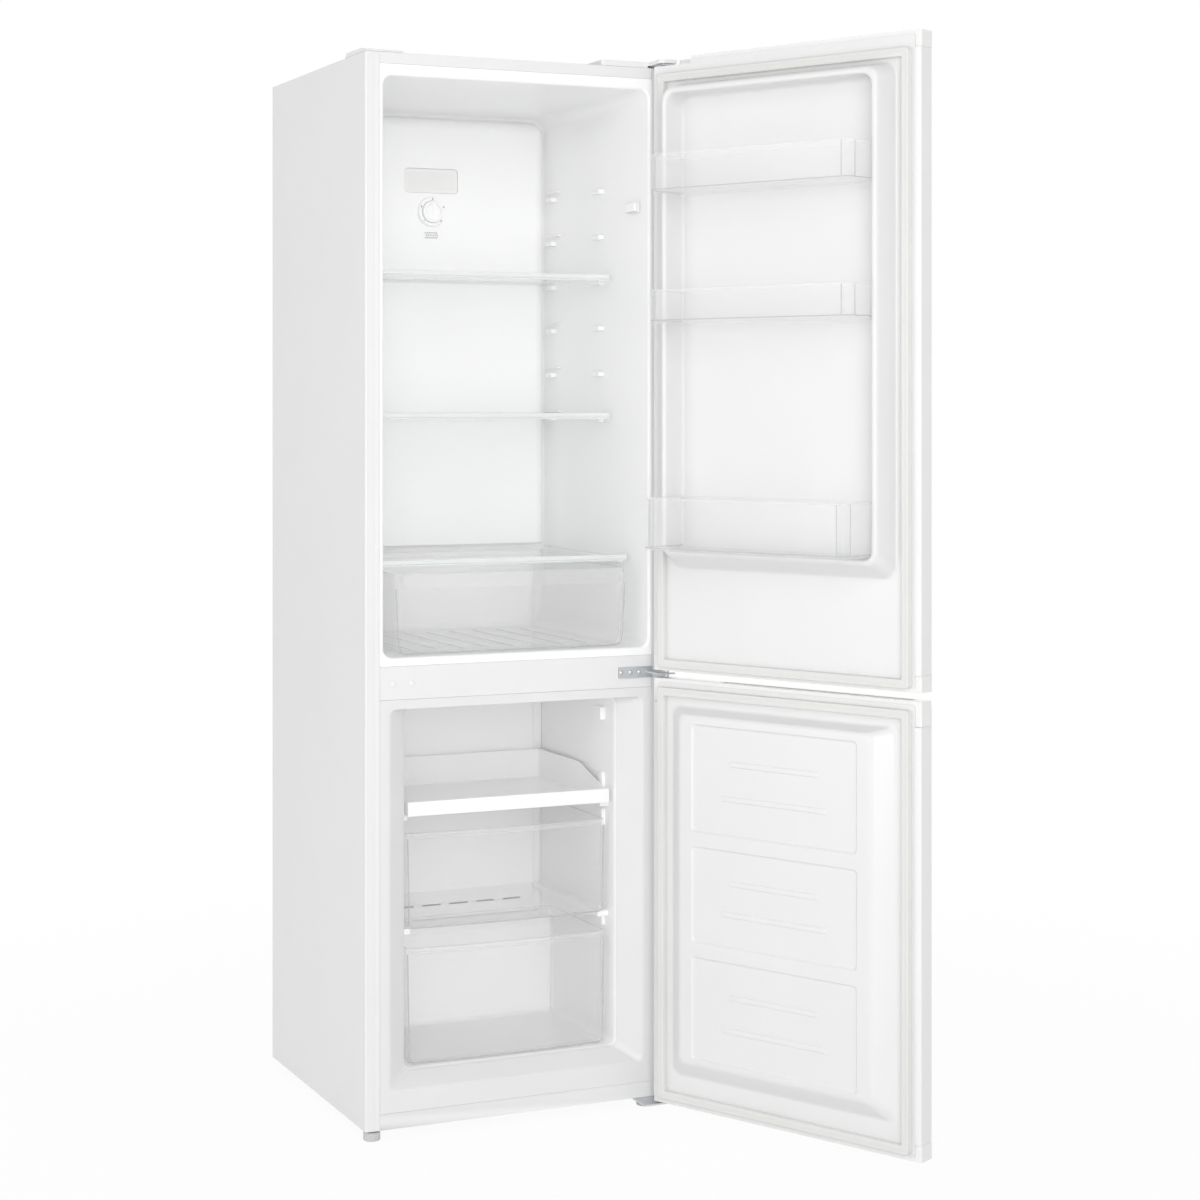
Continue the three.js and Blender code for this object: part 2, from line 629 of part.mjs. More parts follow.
function leftCap() {
  const low = CABINET_TOP + FIT;
  const points = [
    [0, low],
    [0, low + CAP_FRONT_HEIGHT],
    [CAP_SLOPE, CABINET_TOP + CAP_HEIGHT - 1],
    [CAP_DEPTH - CAP_HEIGHT, CABINET_TOP + CAP_HEIGHT],
    [CAP_DEPTH, low],
  ];
  return prismX(points, -HALF, -HALF + CAP_WIDTH);
}

piece(group, 'side_panel_left', sidePanel(-1), whiteEnamel);
piece(group, 'side_panel_right', sidePanel(1), whiteEnamel);
piece(group, 'top_panel', topPanel(), whiteEnamel);
piece(group, 'rear_panel', rearPanel(), galvanised);
piece(group, 'bottom_plate', bottomPlate(), whiteEnamel);
piece(group, 'bay_panel', bayPanel(), galvanised);
piece(group, 'mullion_rail', mullionRail(), whiteEnamel);
piece(group, 'compressor_base', compressorBase(), galvanised);
piece(group, 'top_cap_left', leftCap(), whitePlastic);
PLUG_PLACES.forEach((place, i) => {
  const plug = rodY(PLUG_RADIUS, place - HALF, DOOR_GAP_MIDDLE, -FIT - PLUG_HEAD, -FIT);
  piece(group, `mullion_plug_${i + 1}`, plug, whitePlastic);
});

// ---- Fridge compartment ----

function fridgeRing(grow, y) {
  const share = Math.min(Math.max(y / COMPARTMENT_DEPTH, 0), 1);
  const radius = FRIDGE_FRONT_RADIUS + (FRIDGE_REAR_RADIUS - FRIDGE_FRONT_RADIUS) * share;
  const draft = FRIDGE_DRAFT * share;
  const half = FRIDGE_HALF - draft + grow;
  return ringFacing(half, FRIDGE_FLOOR - grow, FRIDGE_CEILING - draft + grow, radius + grow, y);
}

function fridgeLiner() {
  const shell = loft([fridgeRing(LINER, 0), fridgeRing(LINER, COMPARTMENT_DEPTH + LINER)]);
  const flangeHigh = CABINET_TOP - TOP_RAIL_HEIGHT - FIT;
  const flange = block(-FACE_HALF, FACE_HALF, 0, LINER, MULLION_HIGH + FIT, flangeHigh);
  const cavity = loft([fridgeRing(0, -OVERRUN), fridgeRing(0, 0), fridgeRing(0, COMPARTMENT_DEPTH)]);
  const fixings = [];
  const onBothWalls = (place, length, reach, low, high) => {
    const inner = fridgeHalfAt(place) - reach;
    const outer = fridgeHalfAt(place) + LINER / 2;
    fixings.push(block(inner, outer, place, place + length, low, high));
    fixings.push(block(-outer, -inner, place, place + length, low, high));
  };
  for (let level = 0; level < SHELF_LEVELS; level += 1) {
    const seat = shelfHeight(level) - FIT;
    onBothWalls(FRONT_BOSS_PLACE, FRONT_BOSS_LENGTH, BOSS_REACH, seat - BOSS_HEIGHT, seat);
    const rearBoss = SHELF_REAR - REAR_BOSS_BACK;
    onBothWalls(rearBoss, REAR_BOSS_LENGTH, BOSS_REACH, seat - BOSS_HEIGHT, seat);
    const rib = shelfHeight(level) + HOLD_DOWN_LIFT;
    const ribPlace = SHELF_REAR - HOLD_DOWN_LENGTH;
    onBothWalls(ribPlace, HOLD_DOWN_LENGTH, HOLD_DOWN_REACH, rib, rib + HOLD_DOWN_THICKNESS);
  }
  const ledge = CRISPER_COVER_HEIGHT - FIT;
  const ledgeLength = COMPARTMENT_DEPTH - COVER_LEDGE_PLACE;
  onBothWalls(COVER_LEDGE_PLACE, ledgeLength, BOSS_REACH, ledge - COVER_LEDGE_HEIGHT, ledge);
  return join(cut(join(shell, flange), cavity), ...fixings);
}

function ductForm(inset) {
  const half = fridgeHalfAt(COMPARTMENT_DEPTH) - DUCT_SIDE_GAP - inset;
  const high = FRIDGE_CEILING - DUCT_TOP_GAP - inset;
  const low = CRISPER_COVER_HEIGHT + TRIM_HEIGHT - (inset ? OVERRUN : 0);
  const rear = COMPARTMENT_DEPTH - FIT + (inset ? OVERRUN : 0);
  const edge = DUCT_RADIUS - inset;
  const ring = (lean, y) => ringFacing(half - lean, low, high - lean, edge, y, 1);
  const rolled = Array.from({ length: ARC_STEPS + 1 }, (_, step) => {
    const angle = (step / ARC_STEPS) * (Math.PI / 2);
    return ring(edge * (1 - Math.sin(angle)), DUCT_FRONT + inset + edge * (1 - Math.cos(angle)));
  });
  return loft([...rolled, ring(0, rear)]);
}

function ductCover() {
  const through = [DUCT_FRONT - OVERRUN, DUCT_FRONT + DUCT_WALL + OVERRUN];
  const lampHole = block(
    -LAMP_WIDTH / 2,
    LAMP_WIDTH / 2,
    ...through,
    LAMP_CENTRE - LAMP_HEIGHT / 2,
    LAMP_CENTRE + LAMP_HEIGHT / 2,
  );
  const shaftHole = rodY(SHAFT_RADIUS + RUN, 0, DIAL_HEIGHT, ...through);
  const slots = Array.from({ length: GRILLE_SLOTS }, (_, i) => {
    const x = (i - (GRILLE_SLOTS - 1) / 2) * GRILLE_PITCH;
    const halfWidth = GRILLE_SLOT_WIDTH / 2;
    const low = GRILLE_HEIGHT - GRILLE_SLOT_HEIGHT / 2;
    return block(x - halfWidth, x + halfWidth, ...through, low, low + GRILLE_SLOT_HEIGHT);
  });
  return cut(ductForm(0), ductForm(DUCT_WALL), lampHole, shaftHole, ...slots);
}

function lampLens() {
  const front = DUCT_FRONT + LENS_RECESS;
  const half = LAMP_WIDTH / 2 - FIT;
  const low = LAMP_CENTRE - LAMP_HEIGHT / 2 + FIT;
  return block(-half, half, front, front + LENS_THICKNESS, low, low + LAMP_HEIGHT - 2 * FIT);
}

function thermostatDial() {
  const back = DUCT_FRONT - FIT;
  const front = back - DIAL_DEPTH;
  const disc = rodY(DIAL_RADIUS, 0, DIAL_HEIGHT, front, back, 28);
  const dish = rodY(DIAL_RADIUS - DIAL_RIM, 0, DIAL_HEIGHT, front - OVERRUN, front + DIAL_DEPTH / 2, 28);
  const reach = DIAL_RADIUS - DIAL_RIM + OVERRUN;
  const grip = block(
    -DIAL_GRIP / 2,
    DIAL_GRIP / 2,
    front + 1,
    back,
    DIAL_HEIGHT - reach,
    DIAL_HEIGHT + reach,
  );
  const shaft = rodY(SHAFT_RADIUS, 0, DIAL_HEIGHT, back - OVERRUN, back + SHAFT_LENGTH);
  return join(cut(disc, dish), grip, shaft);
}

function thermostatBox() {
  const front = DUCT_FRONT + DUCT_WALL + FIT;
  const low = DIAL_HEIGHT - THERMOSTAT_HEIGHT / 2;
  const halfWidth = THERMOSTAT_WIDTH / 2;
  const body = block(-halfWidth, halfWidth, front, front + THERMOSTAT_DEPTH, low, low + THERMOSTAT_HEIGHT);
  const boreEnd = DUCT_FRONT + SHAFT_LENGTH + FIT;
  return cut(body, rodY(SHAFT_RADIUS + RUN, 0, DIAL_HEIGHT, front - OVERRUN, boreEnd));
}

const switchBack = fridgeHalfAt(SWITCH_PLACE + SWITCH_LENGTH / 2) - FIT; // X of the switch's flat back
const switchFace = switchBack - SWITCH_DEPTH;

function switchBox(x0, x1, inset) {
  const halfLength = SWITCH_LENGTH / 2 - inset;
  const halfTall = SWITCH_TALL / 2 - inset;
  return block(
    x0,
    x1,
    SWITCH_PLACE - halfLength,
    SWITCH_PLACE + halfLength,
    SWITCH_HEIGHT - halfTall,
    SWITCH_HEIGHT + halfTall,
  );
}

const switchHousing = cut(
  switchBox(switchFace, switchBack, 0),
  switchBox(switchFace - OVERRUN, switchBack - SWITCH_WALL / 2, SWITCH_WALL),
);
const switchButton = switchBox(
  switchFace - BUTTON_PROUD,
  switchBack - SWITCH_WALL / 2 - BUTTON_TRAVEL - FIT,
  SWITCH_WALL + FIT,
);

piece(group, 'fridge_liner', fridgeLiner(), linerPlastic);
piece(group, 'duct_cover', ductCover(), linerPlastic);
piece(group, 'lamp_lens', lampLens(), clearPlastic);
piece(group, 'thermostat_box', thermostatBox(), blackPlastic);
piece(group, 'thermostat_dial', thermostatDial(), whitePlastic);
piece(group, 'switch_housing', switchHousing, whitePlastic);
piece(group, 'switch_button', switchButton, whitePlastic);

// A glass plate whose front edge sits in the slot of a trim bar.
function glassPlate(half, front, rear, height) {
  return block(-half, half, front + TRIM_LIP + FIT, rear, height, height + GLASS);
}

function trimBar(half, front, height, tall) {
  const low = height + GLASS / 2 - tall / 2;
  const slotLow = height - FIT;
  const slotHigh = height + GLASS + FIT;
  const points = [
    [front, low],
    [front, low + tall],
    [front + TRIM_DEPTH, low + tall],
    [front + TRIM_DEPTH, slotHigh],
    [front + TRIM_LIP, slotHigh],
    [front + TRIM_LIP, slotLow],
    [front + TRIM_DEPTH, slotLow],
    [front + TRIM_DEPTH, low],
  ];
  return prismX(points, -half, half);
}

[['upper_shelf', UPPER_SHELF_LEVEL], ['lower_shelf', LOWER_SHELF_LEVEL]].forEach(([name, level]) => {
  const height = shelfHeight(level);
  piece(group, `${name}_glass`, glassPlate(SHELF_HALF, SHELF_FRONT, SHELF_REAR, height), shelfGlass);
  piece(group, `${name}_trim`, trimBar(SHELF_HALF, SHELF_FRONT, height, TRIM_HEIGHT), clearPlastic);
});
const crisperCoverRear = DUCT_FRONT - CRISPER_COVER_REAR_GAP;
piece(
  group,
  'crisper_cover_glass',
  glassPlate(SHELF_HALF, CRISPER_COVER_FRONT, crisperCoverRear, CRISPER_COVER_HEIGHT),
  shelfGlass,
);
piece(
  group,
  'crisper_cover_trim',
  trimBar(SHELF_HALF, CRISPER_COVER_FRONT, CRISPER_COVER_HEIGHT, TRIM_HEIGHT),
  clearPlastic,
);

// ---- Drawers ----

// Plan points of a drawer: a bowed front between rounded corners, square at the rear.
function drawerPlan(half, front, rear, bow, radius) {
  const arc = (side) =>
    Array.from({ length: ARC_STEPS + 1 }, (_, step) => {
      const angle = (step / ARC_STEPS) * (Math.PI / 2);
      return [
        side * (half - radius + radius * Math.cos(angle)),
        front + bow + radius - radius * Math.sin(angle),
      ];
    });
  const middle = [[half / 2, front + bow / 4], [0, front], [-half / 2, front + bow / 4]];
  return [[half, rear], ...arc(1), ...middle, ...arc(-1).reverse(), [-half, rear]];
}

function drawerRing(half, front, rear, bow, radius, z) {
  return drawerPlan(half, front, rear, bow, radius).map(([x, y]) => new THREE.Vector3(x, y, z));
}

// An open-topped box whose walls lean out by draft above a bevelled foot.
function tub(half, front, rear, low, high, { wall, bow, radius, draft, foot = 1 }) {
  const ring = (inset, z) =>
    drawerRing(half - inset, front + inset, rear - inset, bow, Math.max(radius - inset / 2, 1), z);
  const body = loft([ring(draft + foot, low), ring(draft, low + foot), ring(0, high)]);
  const hollow = loft([
    ring(draft + foot + wall, low + wall),
    ring(draft + wall, low + foot + wall),
    ring(wall, high),
    ring(wall, high + OVERRUN),
  ]);
  return cut(body, hollow);
}

function crisper() {
  const options = {
    wall: TUB_WALL,
    bow: 0,
    radius: CRISPER_RADIUS,
    draft: CRISPER_DRAFT,
    foot: CRISPER_FOOT,
  };
  const half = FRIDGE_HALF - CRISPER_SIDE_GAP;
  const rear = COMPARTMENT_DEPTH - CRISPER_REAR_GAP;
  const high = CRISPER_COVER_HEIGHT - CRISPER_TOP_GAP;
  const box = tub(half, CRISPER_FRONT, rear, FRIDGE_FLOOR + FIT, high, options);
  const bandHalf = half - CRISPER_RADIUS;
  const bandLow = high - CRISPER_BAND_HEIGHT;
  const bandFront = CRISPER_FRONT - CRISPER_BAND_DEPTH;
  const band = block(-bandHalf, bandHalf, bandFront, CRISPER_FRONT + TUB_WALL, bandLow, high);
  const underside = block(
    -bandHalf + TUB_WALL,
    bandHalf - TUB_WALL,
    bandFront + TUB_WALL,
    CRISPER_FRONT + CRISPER_DRAFT,
    bandLow - OVERRUN,
    high - TUB_WALL,
  );
  return join(box, cut(band, underside));
}

function freezerDrawer(low, high, rear) {
  const options = { wall: TUB_WALL, bow: DRAWER_BOW, radius: DRAWER_RADIUS, draft: DRAWER_DRAFT };
  const half = FREEZER_HALF - DRAWER_SIDE_GAP;
  const front = DRAWER_FRONT + DRAWER_RIM_REACH;
  const box = tub(half, front, rear, low, high, options);
  // The handle rim stands out ahead of the front and follows its bow.
  const rimLow = high - DRAWER_RIM_HEIGHT;
  const rimHalf = half - DRAWER_RADIUS;
  const rimRing = (z) => drawerRing(rimHalf, DRAWER_FRONT, front + DRAWER_BOW, DRAWER_BOW, TUB_WALL, z);
  const within = (z) => drawerRing(half - 1, front + 1, rear, DRAWER_BOW, DRAWER_RADIUS, z);
  const inside = loft([within(rimLow - OVERRUN), within(high + OVERRUN)]);
  return join(box, cut(loft([rimRing(rimLow), rimRing(high)]), inside));
}

const drawerRear = EVAPORATOR_COVER_FRONT - DRAWER_REAR_GAP;
const middleDrawer = freezerDrawer(DRAWER_LEDGE_TOP + FIT, TRAY_FLOOR - MIDDLE_DRAWER_TOP_GAP, drawerRear);
const lowerDrawerTop = DRAWER_LEDGE_TOP - LOWER_DRAWER_TOP_GAP;
const lowerDrawer = freezerDrawer(FREEZER_FLOOR + FIT, lowerDrawerTop, STEP_DEPTH - DRAWER_REAR_GAP);

piece(group, 'crisper', crisper(), clearPlastic);
piece(group, 'middle_drawer', middleDrawer, clearPlastic);
piece(group, 'lower_drawer', lowerDrawer, clearPlastic);

// ---- Freezer compartment ----

// The rounded front edge of the step over the compressor, as [Y, Z] from its face to its top.
function stepEdge(inset) {
  const radius = STEP_ROUND - inset;
  return Array.from({ length: STEP_ROUND_RUNS + 1 }, (_, i) => {
    const angle = ((i / STEP_ROUND_RUNS) * Math.PI) / 2;
    return [
      STEP_DEPTH + STEP_ROUND - radius * Math.cos(angle),
      STEP_HEIGHT - STEP_ROUND + radius * Math.sin(angle),
    ];
  });
}

function freezerLiner() {
  const mouth = (grow, y) =>
    ringFacing(
      HALF - FREEZER_MOUTH_WALL + grow,
      FREEZER_SILL - grow,
      MULLION_LOW - FREEZER_MOUTH_DROP + grow,
      FREEZER_RADIUS + grow,
      y,
    );
  const inside = (grow, y) =>
    ringFacing(FREEZER_HALF + grow, FREEZER_FLOOR - grow, FREEZER_CEILING + grow, FREEZER_RADIUS + grow, y);
  const upper = (grow, y) =>
    ringFacing(FREEZER_HALF + grow, STEP_HEIGHT - grow, FREEZER_CEILING + grow, FREEZER_RADIUS + grow, y);
  const shell = join(
    loft([mouth(LINER, 0), inside(LINER, FLARE_DEPTH), inside(LINER, STEP_DEPTH + LINER)]),
    loft([upper(LINER, FLARE_DEPTH), upper(LINER, COMPARTMENT_DEPTH + LINER)]),
  );
  const flangeLow = BASE_HEIGHT + BOTTOM_RAIL_HEIGHT + FIT;
  const flange = block(-FACE_HALF, FACE_HALF, 0, LINER, flangeLow, MULLION_LOW - FIT);
  const front = loft([mouth(0, -OVERRUN), mouth(0, 0), inside(0, FLARE_DEPTH), inside(0, STEP_DEPTH)]);
  const rear = loft([upper(0, FLARE_DEPTH), upper(0, COMPARTMENT_DEPTH)]);
  const wide = FREEZER_HALF + LINER;
  const edgeWall = prismX([...stepEdge(0), ...stepEdge(LINER).reverse()], -wide, wide);
  const overEdge = [
    [STEP_DEPTH + STEP_ROUND, STEP_HEIGHT + OVERRUN],
    [STEP_DEPTH - OVERRUN, STEP_HEIGHT + OVERRUN],
    [STEP_DEPTH - OVERRUN, STEP_HEIGHT - STEP_ROUND],
  ];
  const edgeRoom = prismX([...stepEdge(0), ...overEdge], -FREEZER_HALF, FREEZER_HALF);
  const fixings = [];
  const onBothWalls = (place, length, reach, low, high) => {
    const inner = FREEZER_HALF - reach;
    const outer = FREEZER_HALF + LINER / 2;
    fixings.push(block(inner, outer, place, place + length, low, high));
    fixings.push(block(-outer, -inner, place, place + length, low, high));
  };
  const underTray = TRAY_FLOOR - FIT - LEDGE_HEIGHT;
  const underDrawer = DRAWER_LEDGE_TOP - LEDGE_HEIGHT;
  const ledgeLength = FREEZER_REAR - LEDGE_PLACE;
  onBothWalls(LEDGE_PLACE, ledgeLength, TRAY_LEDGE_REACH, underTray, underTray + LEDGE_HEIGHT);
  onBothWalls(LEDGE_PLACE, ledgeLength, DRAWER_LEDGE_REACH, underDrawer, DRAWER_LEDGE_TOP);
  const stud = (low, height) => onBothWalls(STUD_PLACE, STUD_LENGTH, STUD_REACH, low, low + height);
  stud(FREEZER_CEILING - STUD_GAP - STUD_HEIGHT, STUD_HEIGHT);
  stud(TRAY_FLOOR + STUD_GAP, STUD_HEIGHT);
  stud(TRAY_FLOOR - STUD_GAP - STUD_HEIGHT, STUD_HEIGHT);
  stud(underDrawer - LOW_STUD_HEIGHT + 1, LOW_STUD_HEIGHT);
  return join(cut(join(shell, flange, edgeWall), front, rear, edgeRoom), ...fixings);
}

function freezerTray() {
  const top = TRAY_FLOOR + TRAY_REAR_HEIGHT;
  const side = [
    [DRAWER_FRONT, TRAY_FLOOR],
    [DRAWER_FRONT, TRAY_FLOOR + TRAY_FRONT_HEIGHT],
    [TRAY_SLOPE_START, TRAY_FLOOR + TRAY_FRONT_HEIGHT],
    [TRAY_SLOPE_END, top],
    [FREEZER_REAR, top],
    [FREEZER_REAR, TRAY_FLOOR],
  ];
  const body = prismX(side, -TRAY_HALF, TRAY_HALF);
  const half = TRAY_HALF - TUB_WALL;
  const hollow = block(
    -half,
    half,
    DRAWER_FRONT + TUB_WALL,
    FREEZER_REAR - TUB_WALL,
    TRAY_FLOOR + TUB_WALL,
    top + OVERRUN,
  );
  return cut(body, hollow);
}

function evaporatorCover() {
  const rear = COMPARTMENT_DEPTH - FIT;
  const low = STEP_HEIGHT + FIT;
  const high = FREEZER_CEILING - FIT;
  const half = FREEZER_HALF - EVAPORATOR_COVER_SIDE_GAP;
  const body = block(-half, half, EVAPORATOR_COVER_FRONT, rear, low, high);
  const hollow = block(
    -half + LINER,
    half - LINER,
    EVAPORATOR_COVER_FRONT + LINER,
    rear + OVERRUN,
    low + LINER,
    high - LINER,
  );
  const slots = [low + 4 * SLOT_HEIGHT, high - 3 * SLOT_HEIGHT].flatMap((z) =>
    Array.from({ length: SLOT_COUNT }, (_, i) => {
      const left = (i - (SLOT_COUNT - 1) / 2) * SLOT_PITCH - SLOT_LENGTH / 2;
      const front = EVAPORATOR_COVER_FRONT - OVERRUN;
      return block(left, left + SLOT_LENGTH, front, front + LINER + 2 * OVERRUN, z, z + SLOT_HEIGHT);
    }),
  );
  return cut(body, hollow, ...slots);
}

function evaporator() {
  const half = FREEZER_HALF - EVAPORATOR_COVER_SIDE_GAP - EVAPORATOR_SIDE_GAP;
  const front = EVAPORATOR_COVER_FRONT + EVAPORATOR_FRONT_GAP;
  const rear = front + EVAPORATOR_THICKNESS;
  const low = STEP_HEIGHT + EVAPORATOR_RISE;
  const high = FAN_HEIGHT - FAN_RADIUS - EVAPORATOR_TOP_GAP;
  const fins = Array.from({ length: FIN_COUNT }, (_, i) => {
    const x = -half + (2 * half * i) / (FIN_COUNT - 1);
    // The two end plates stand on the cover's floor.
    const isEnd = i === 0 || i === FIN_COUNT - 1;
    const foot = isEnd ? STEP_HEIGHT + LINER + 2 * FIT : low;
    return block(x - FIN / 2, x + FIN / 2, front, rear, foot, high);
  });
  const tubes = Array.from({ length: COOLANT_TUBES }, (_, i) => {
    const z = low + ((high - low) * (i + 0.5)) / COOLANT_TUBES;
    return rodX(COOLANT_TUBE_RADIUS, (front + rear) / 2, z, -half, half, 6);
  });
  return join(fins[0], ...tubes, ...fins.slice(1));
}

const motorFront = COMPARTMENT_DEPTH - FIT - MOTOR_DEPTH;

function fanMotor() {
  const can = rodY(MOTOR_RADIUS, 0, FAN_HEIGHT, motorFront, motorFront + MOTOR_DEPTH);
  const shaft = rodY(MOTOR_SHAFT_RADIUS, 0, FAN_HEIGHT, motorFront - MOTOR_SHAFT_LENGTH, motorFront + 1);
  return join(can, shaft);
}

function fanImpeller() {
  const back = motorFront - FIT;
  const front = back - FAN_DEPTH;
  const hub = rodY(FAN_HUB_RADIUS, 0, 0, front, back);
  const blades = Array.from({ length: FAN_BLADES }, (_, i) => {
    const [chord, thick] = [FAN_CHORD / 2, FAN_BLADE / 2];
    const blade = block(-chord, chord, -thick, thick, FAN_HUB_RADIUS - FAN_BLADE, FAN_RADIUS);
    return blade
      .rotateZ(FAN_PITCH_ANGLE)
      .translate(0, (front + back) / 2, 0)
      .rotateY((i * 2 * Math.PI) / FAN_BLADES);
  });
  const boreEnd = motorFront - MOTOR_SHAFT_LENGTH - FIT;
  const bore = rodY(MOTOR_SHAFT_RADIUS + RUN, 0, 0, boreEnd, back + OVERRUN);
  return cut(join(hub, ...blades), bore).translate(0, 0, FAN_HEIGHT);
}

piece(group, 'freezer_liner', freezerLiner(), linerPlastic);
piece(group, 'freezer_tray', freezerTray(), whitePlastic);
piece(group, 'evaporator_cover', evaporatorCover(), linerPlastic);
piece(group, 'evaporator', evaporator(), aluminium);
piece(group, 'fan_motor', fanMotor(), galvanised);
piece(group, 'fan_impeller', fanImpeller(), blackPlastic);

// ---- Compressor bay ----

const compressorY = (BAY_FRONT + SHEET + CABINET_DEPTH) / 2;
const footTop = plateTop + FIT + COMPRESSOR_FOOT_HEIGHT;
const compressorTop = footTop + COMPRESSOR_HEIGHT;

// A copper pipe from the compressor's end, out by reach and up to the bay's ceiling. Its place across and
// up the shell is given in shares of the shell's radius and height.
function pipe(reach, across, up) {
  const end = COMPRESSOR_OFFSET - COMPRESSOR_RADIUS * COMPRESSOR_STRETCH;
  const y = compressorY + COMPRESSOR_RADIUS * across;
  const z = footTop + COMPRESSOR_HEIGHT * up;
  const high = BAY_HEIGHT - SHEET - FIT;
  const bend = 5 * PIPE_RADIUS;
  const route = new THREE.CurvePath();
  const at = (x, height) => new THREE.Vector3(x, y, height);
  const riser = end - reach; // X where the pipe goes up
  route.add(new THREE.LineCurve3(at(end + COMPRESSOR_WALL, z), at(riser + bend, z)));
  route.add(new THREE.QuadraticBezierCurve3(at(riser + bend, z), at(riser, z), at(riser, z + bend)));
  route.add(new THREE.LineCurve3(at(riser, z + bend), at(riser, high)));
  const section = new THREE.Shape().absarc(0, 0, PIPE_RADIUS, 0, 2 * Math.PI);
  return new THREE.ExtrudeGeometry(section, {
    steps: PIPE_STEPS,
    curveSegments: PIPE_SIDES / 2, // a round outline takes two sides for each
    extrudePath: route,
    bevelEnabled: false,
  });
}

function compressor() {
  const profile = [
    [0, 0],
    [0.75, 0],
    [0.95, 0.12],
    [1, 0.4],
    [1, 0.7],
    [0.8, 0.94],
    [0.4, 1],
    [0, 1],
  ];
  const can = (shrink) => {
    const radius = COMPRESSOR_RADIUS - shrink;
    const height = COMPRESSOR_HEIGHT - 2 * shrink;
    const points = profile.map(([r, z]) => new THREE.Vector2(r * radius, z * height));
    const lathe = new THREE.LatheGeometry(points, PIN_SIDES).rotateX(Math.PI / 2);
    return lathe.scale(COMPRESSOR_STRETCH, 1, 1).translate(COMPRESSOR_OFFSET, compressorY, footTop + shrink);
  };
  const port = rodY(
    COMPRESSOR_PORT_RADIUS,
    COMPRESSOR_OFFSET,
    footTop + COMPRESSOR_HEIGHT / 2,
    compressorY,
    compressorY + COMPRESSOR_RADIUS + OVERRUN,
  );
  const reach = COMPRESSOR_RADIUS * COMPRESSOR_STRETCH + COMPRESSOR_FOOT_REACH;
  const rails = [-1, 1].map((side) => {
    const y = compressorY + (side * COMPRESSOR_RADIUS) / 2;
    const half = COMPRESSOR_FOOT_HEIGHT;
    const rail = block(-reach, reach, y - half, y + half, plateTop + FIT, footTop + FIT);
    return rail.translate(COMPRESSOR_OFFSET, 0, 0);
  });
  const suction = pipe(SUCTION_PIPE_REACH, 1 / 4, 1 / 2);
  const discharge = pipe(DRIER_PIPE_REACH, -1 / 4, 1 / 4);
  const drierX = COMPRESSOR_OFFSET - COMPRESSOR_RADIUS * COMPRESSOR_STRETCH - DRIER_PIPE_REACH;
  const drierY = compressorY - COMPRESSOR_RADIUS / 4;
  const drierHigh = BAY_HEIGHT - 3 * DRIER_RADIUS;
  const drier = rodZ(DRIER_RADIUS, drierX, drierY, drierHigh - DRIER_LENGTH, drierHigh);
  return join(cut(join(can(0), ...rails), can(COMPRESSOR_WALL), port), suction, discharge, drier);
}

function dripTray() {
  const low = compressorTop + FIT;
  const options = { wall: LINER, bow: 0, radius: DRAWER_RADIUS, draft: DRAWER_DRAFT };
  const [front, rear] = [compressorY - DRIP_TRAY_HALF_DEPTH, compressorY + DRIP_TRAY_HALF_DEPTH];
  const tray = tub(DRIP_TRAY_HALF_WIDTH, front, rear, low, low + DRIP_TRAY_HEIGHT, options);
  return tray.translate(COMPRESSOR_OFFSET, 0, 0);
}

piece(group, 'compressor', compressor(), blackEnamel);
piece(group, 'drip_tray', dripTray(), blackPlastic);

// ---- Feet and rollers ----

footPlaces.forEach(([name, x]) => {
  const pad = rodZ(FOOT_RADIUS, x, FOOT_PLACE, 0, FOOT_HEIGHT);
  const stem = rodZ(FOOT_STEM_RADIUS, x, FOOT_PLACE, FOOT_HEIGHT - 1, BASE_HEIGHT + FOOT_STEM_REACH);
  piece(group, name, join(pad, stem), greyPlastic);
});
[['left', -1], ['right', 1]].forEach(([name, side]) => {
  const x = side * rollerX;
  const half = ROLLER_WIDTH / 2;
  const tyre = rodX(ROLLER_RADIUS, rollerY, ROLLER_RADIUS, x - half, x + half);
  const bore = rodX(AXLE_RADIUS + RUN, rollerY, ROLLER_RADIUS, x - half - OVERRUN, x + half + OVERRUN);
  piece(group, `roller_${name}`, cut(tyre, bore), blackRubber);
  const reach = cheekOuter + AXLE_RADIUS;
  const axle = rodX(AXLE_RADIUS, rollerY, ROLLER_RADIUS, x - reach, x + reach);
  piece(group, `roller_axle_${name}`, axle, zincSteel);
});

// ---- Hinges ----

const armSpan = [PIVOT_X - ARM_HALF_WIDTH, PIVOT_X + ARM_HALF_WIDTH];
const armNose = PIVOT_Y - ARM_NOSE;
const topArmLow = CABINET_TOP + FIT;
const topArmHigh = topArmLow + HINGE_PLATE;
const middleArmHigh = DOOR_GAP_MIDDLE + HINGE_PLATE / 2;
const middleArmLow = DOOR_GAP_MIDDLE - HINGE_PLATE / 2;
const bottomArmHigh = BASE_HEIGHT - FIT;

function topHinge() {
  const plateLeft = armSpan[1] - TOP_PLATE_LENGTH;
  const plate = block(plateLeft, armSpan[1], ARM_HALF_WIDTH, TOP_PLATE_DEPTH, topArmLow, topArmHigh);
  const arm = block(...armSpan, armNose, TOP_PLATE_DEPTH / 2, topArmLow, topArmHigh);
  const pin = rodZ(PIN_RADIUS, PIVOT_X, PIVOT_Y, NOTCH_FLOOR - PIN_REACH, topArmHigh - SHEET);
  return join(plate, arm, pin);
}

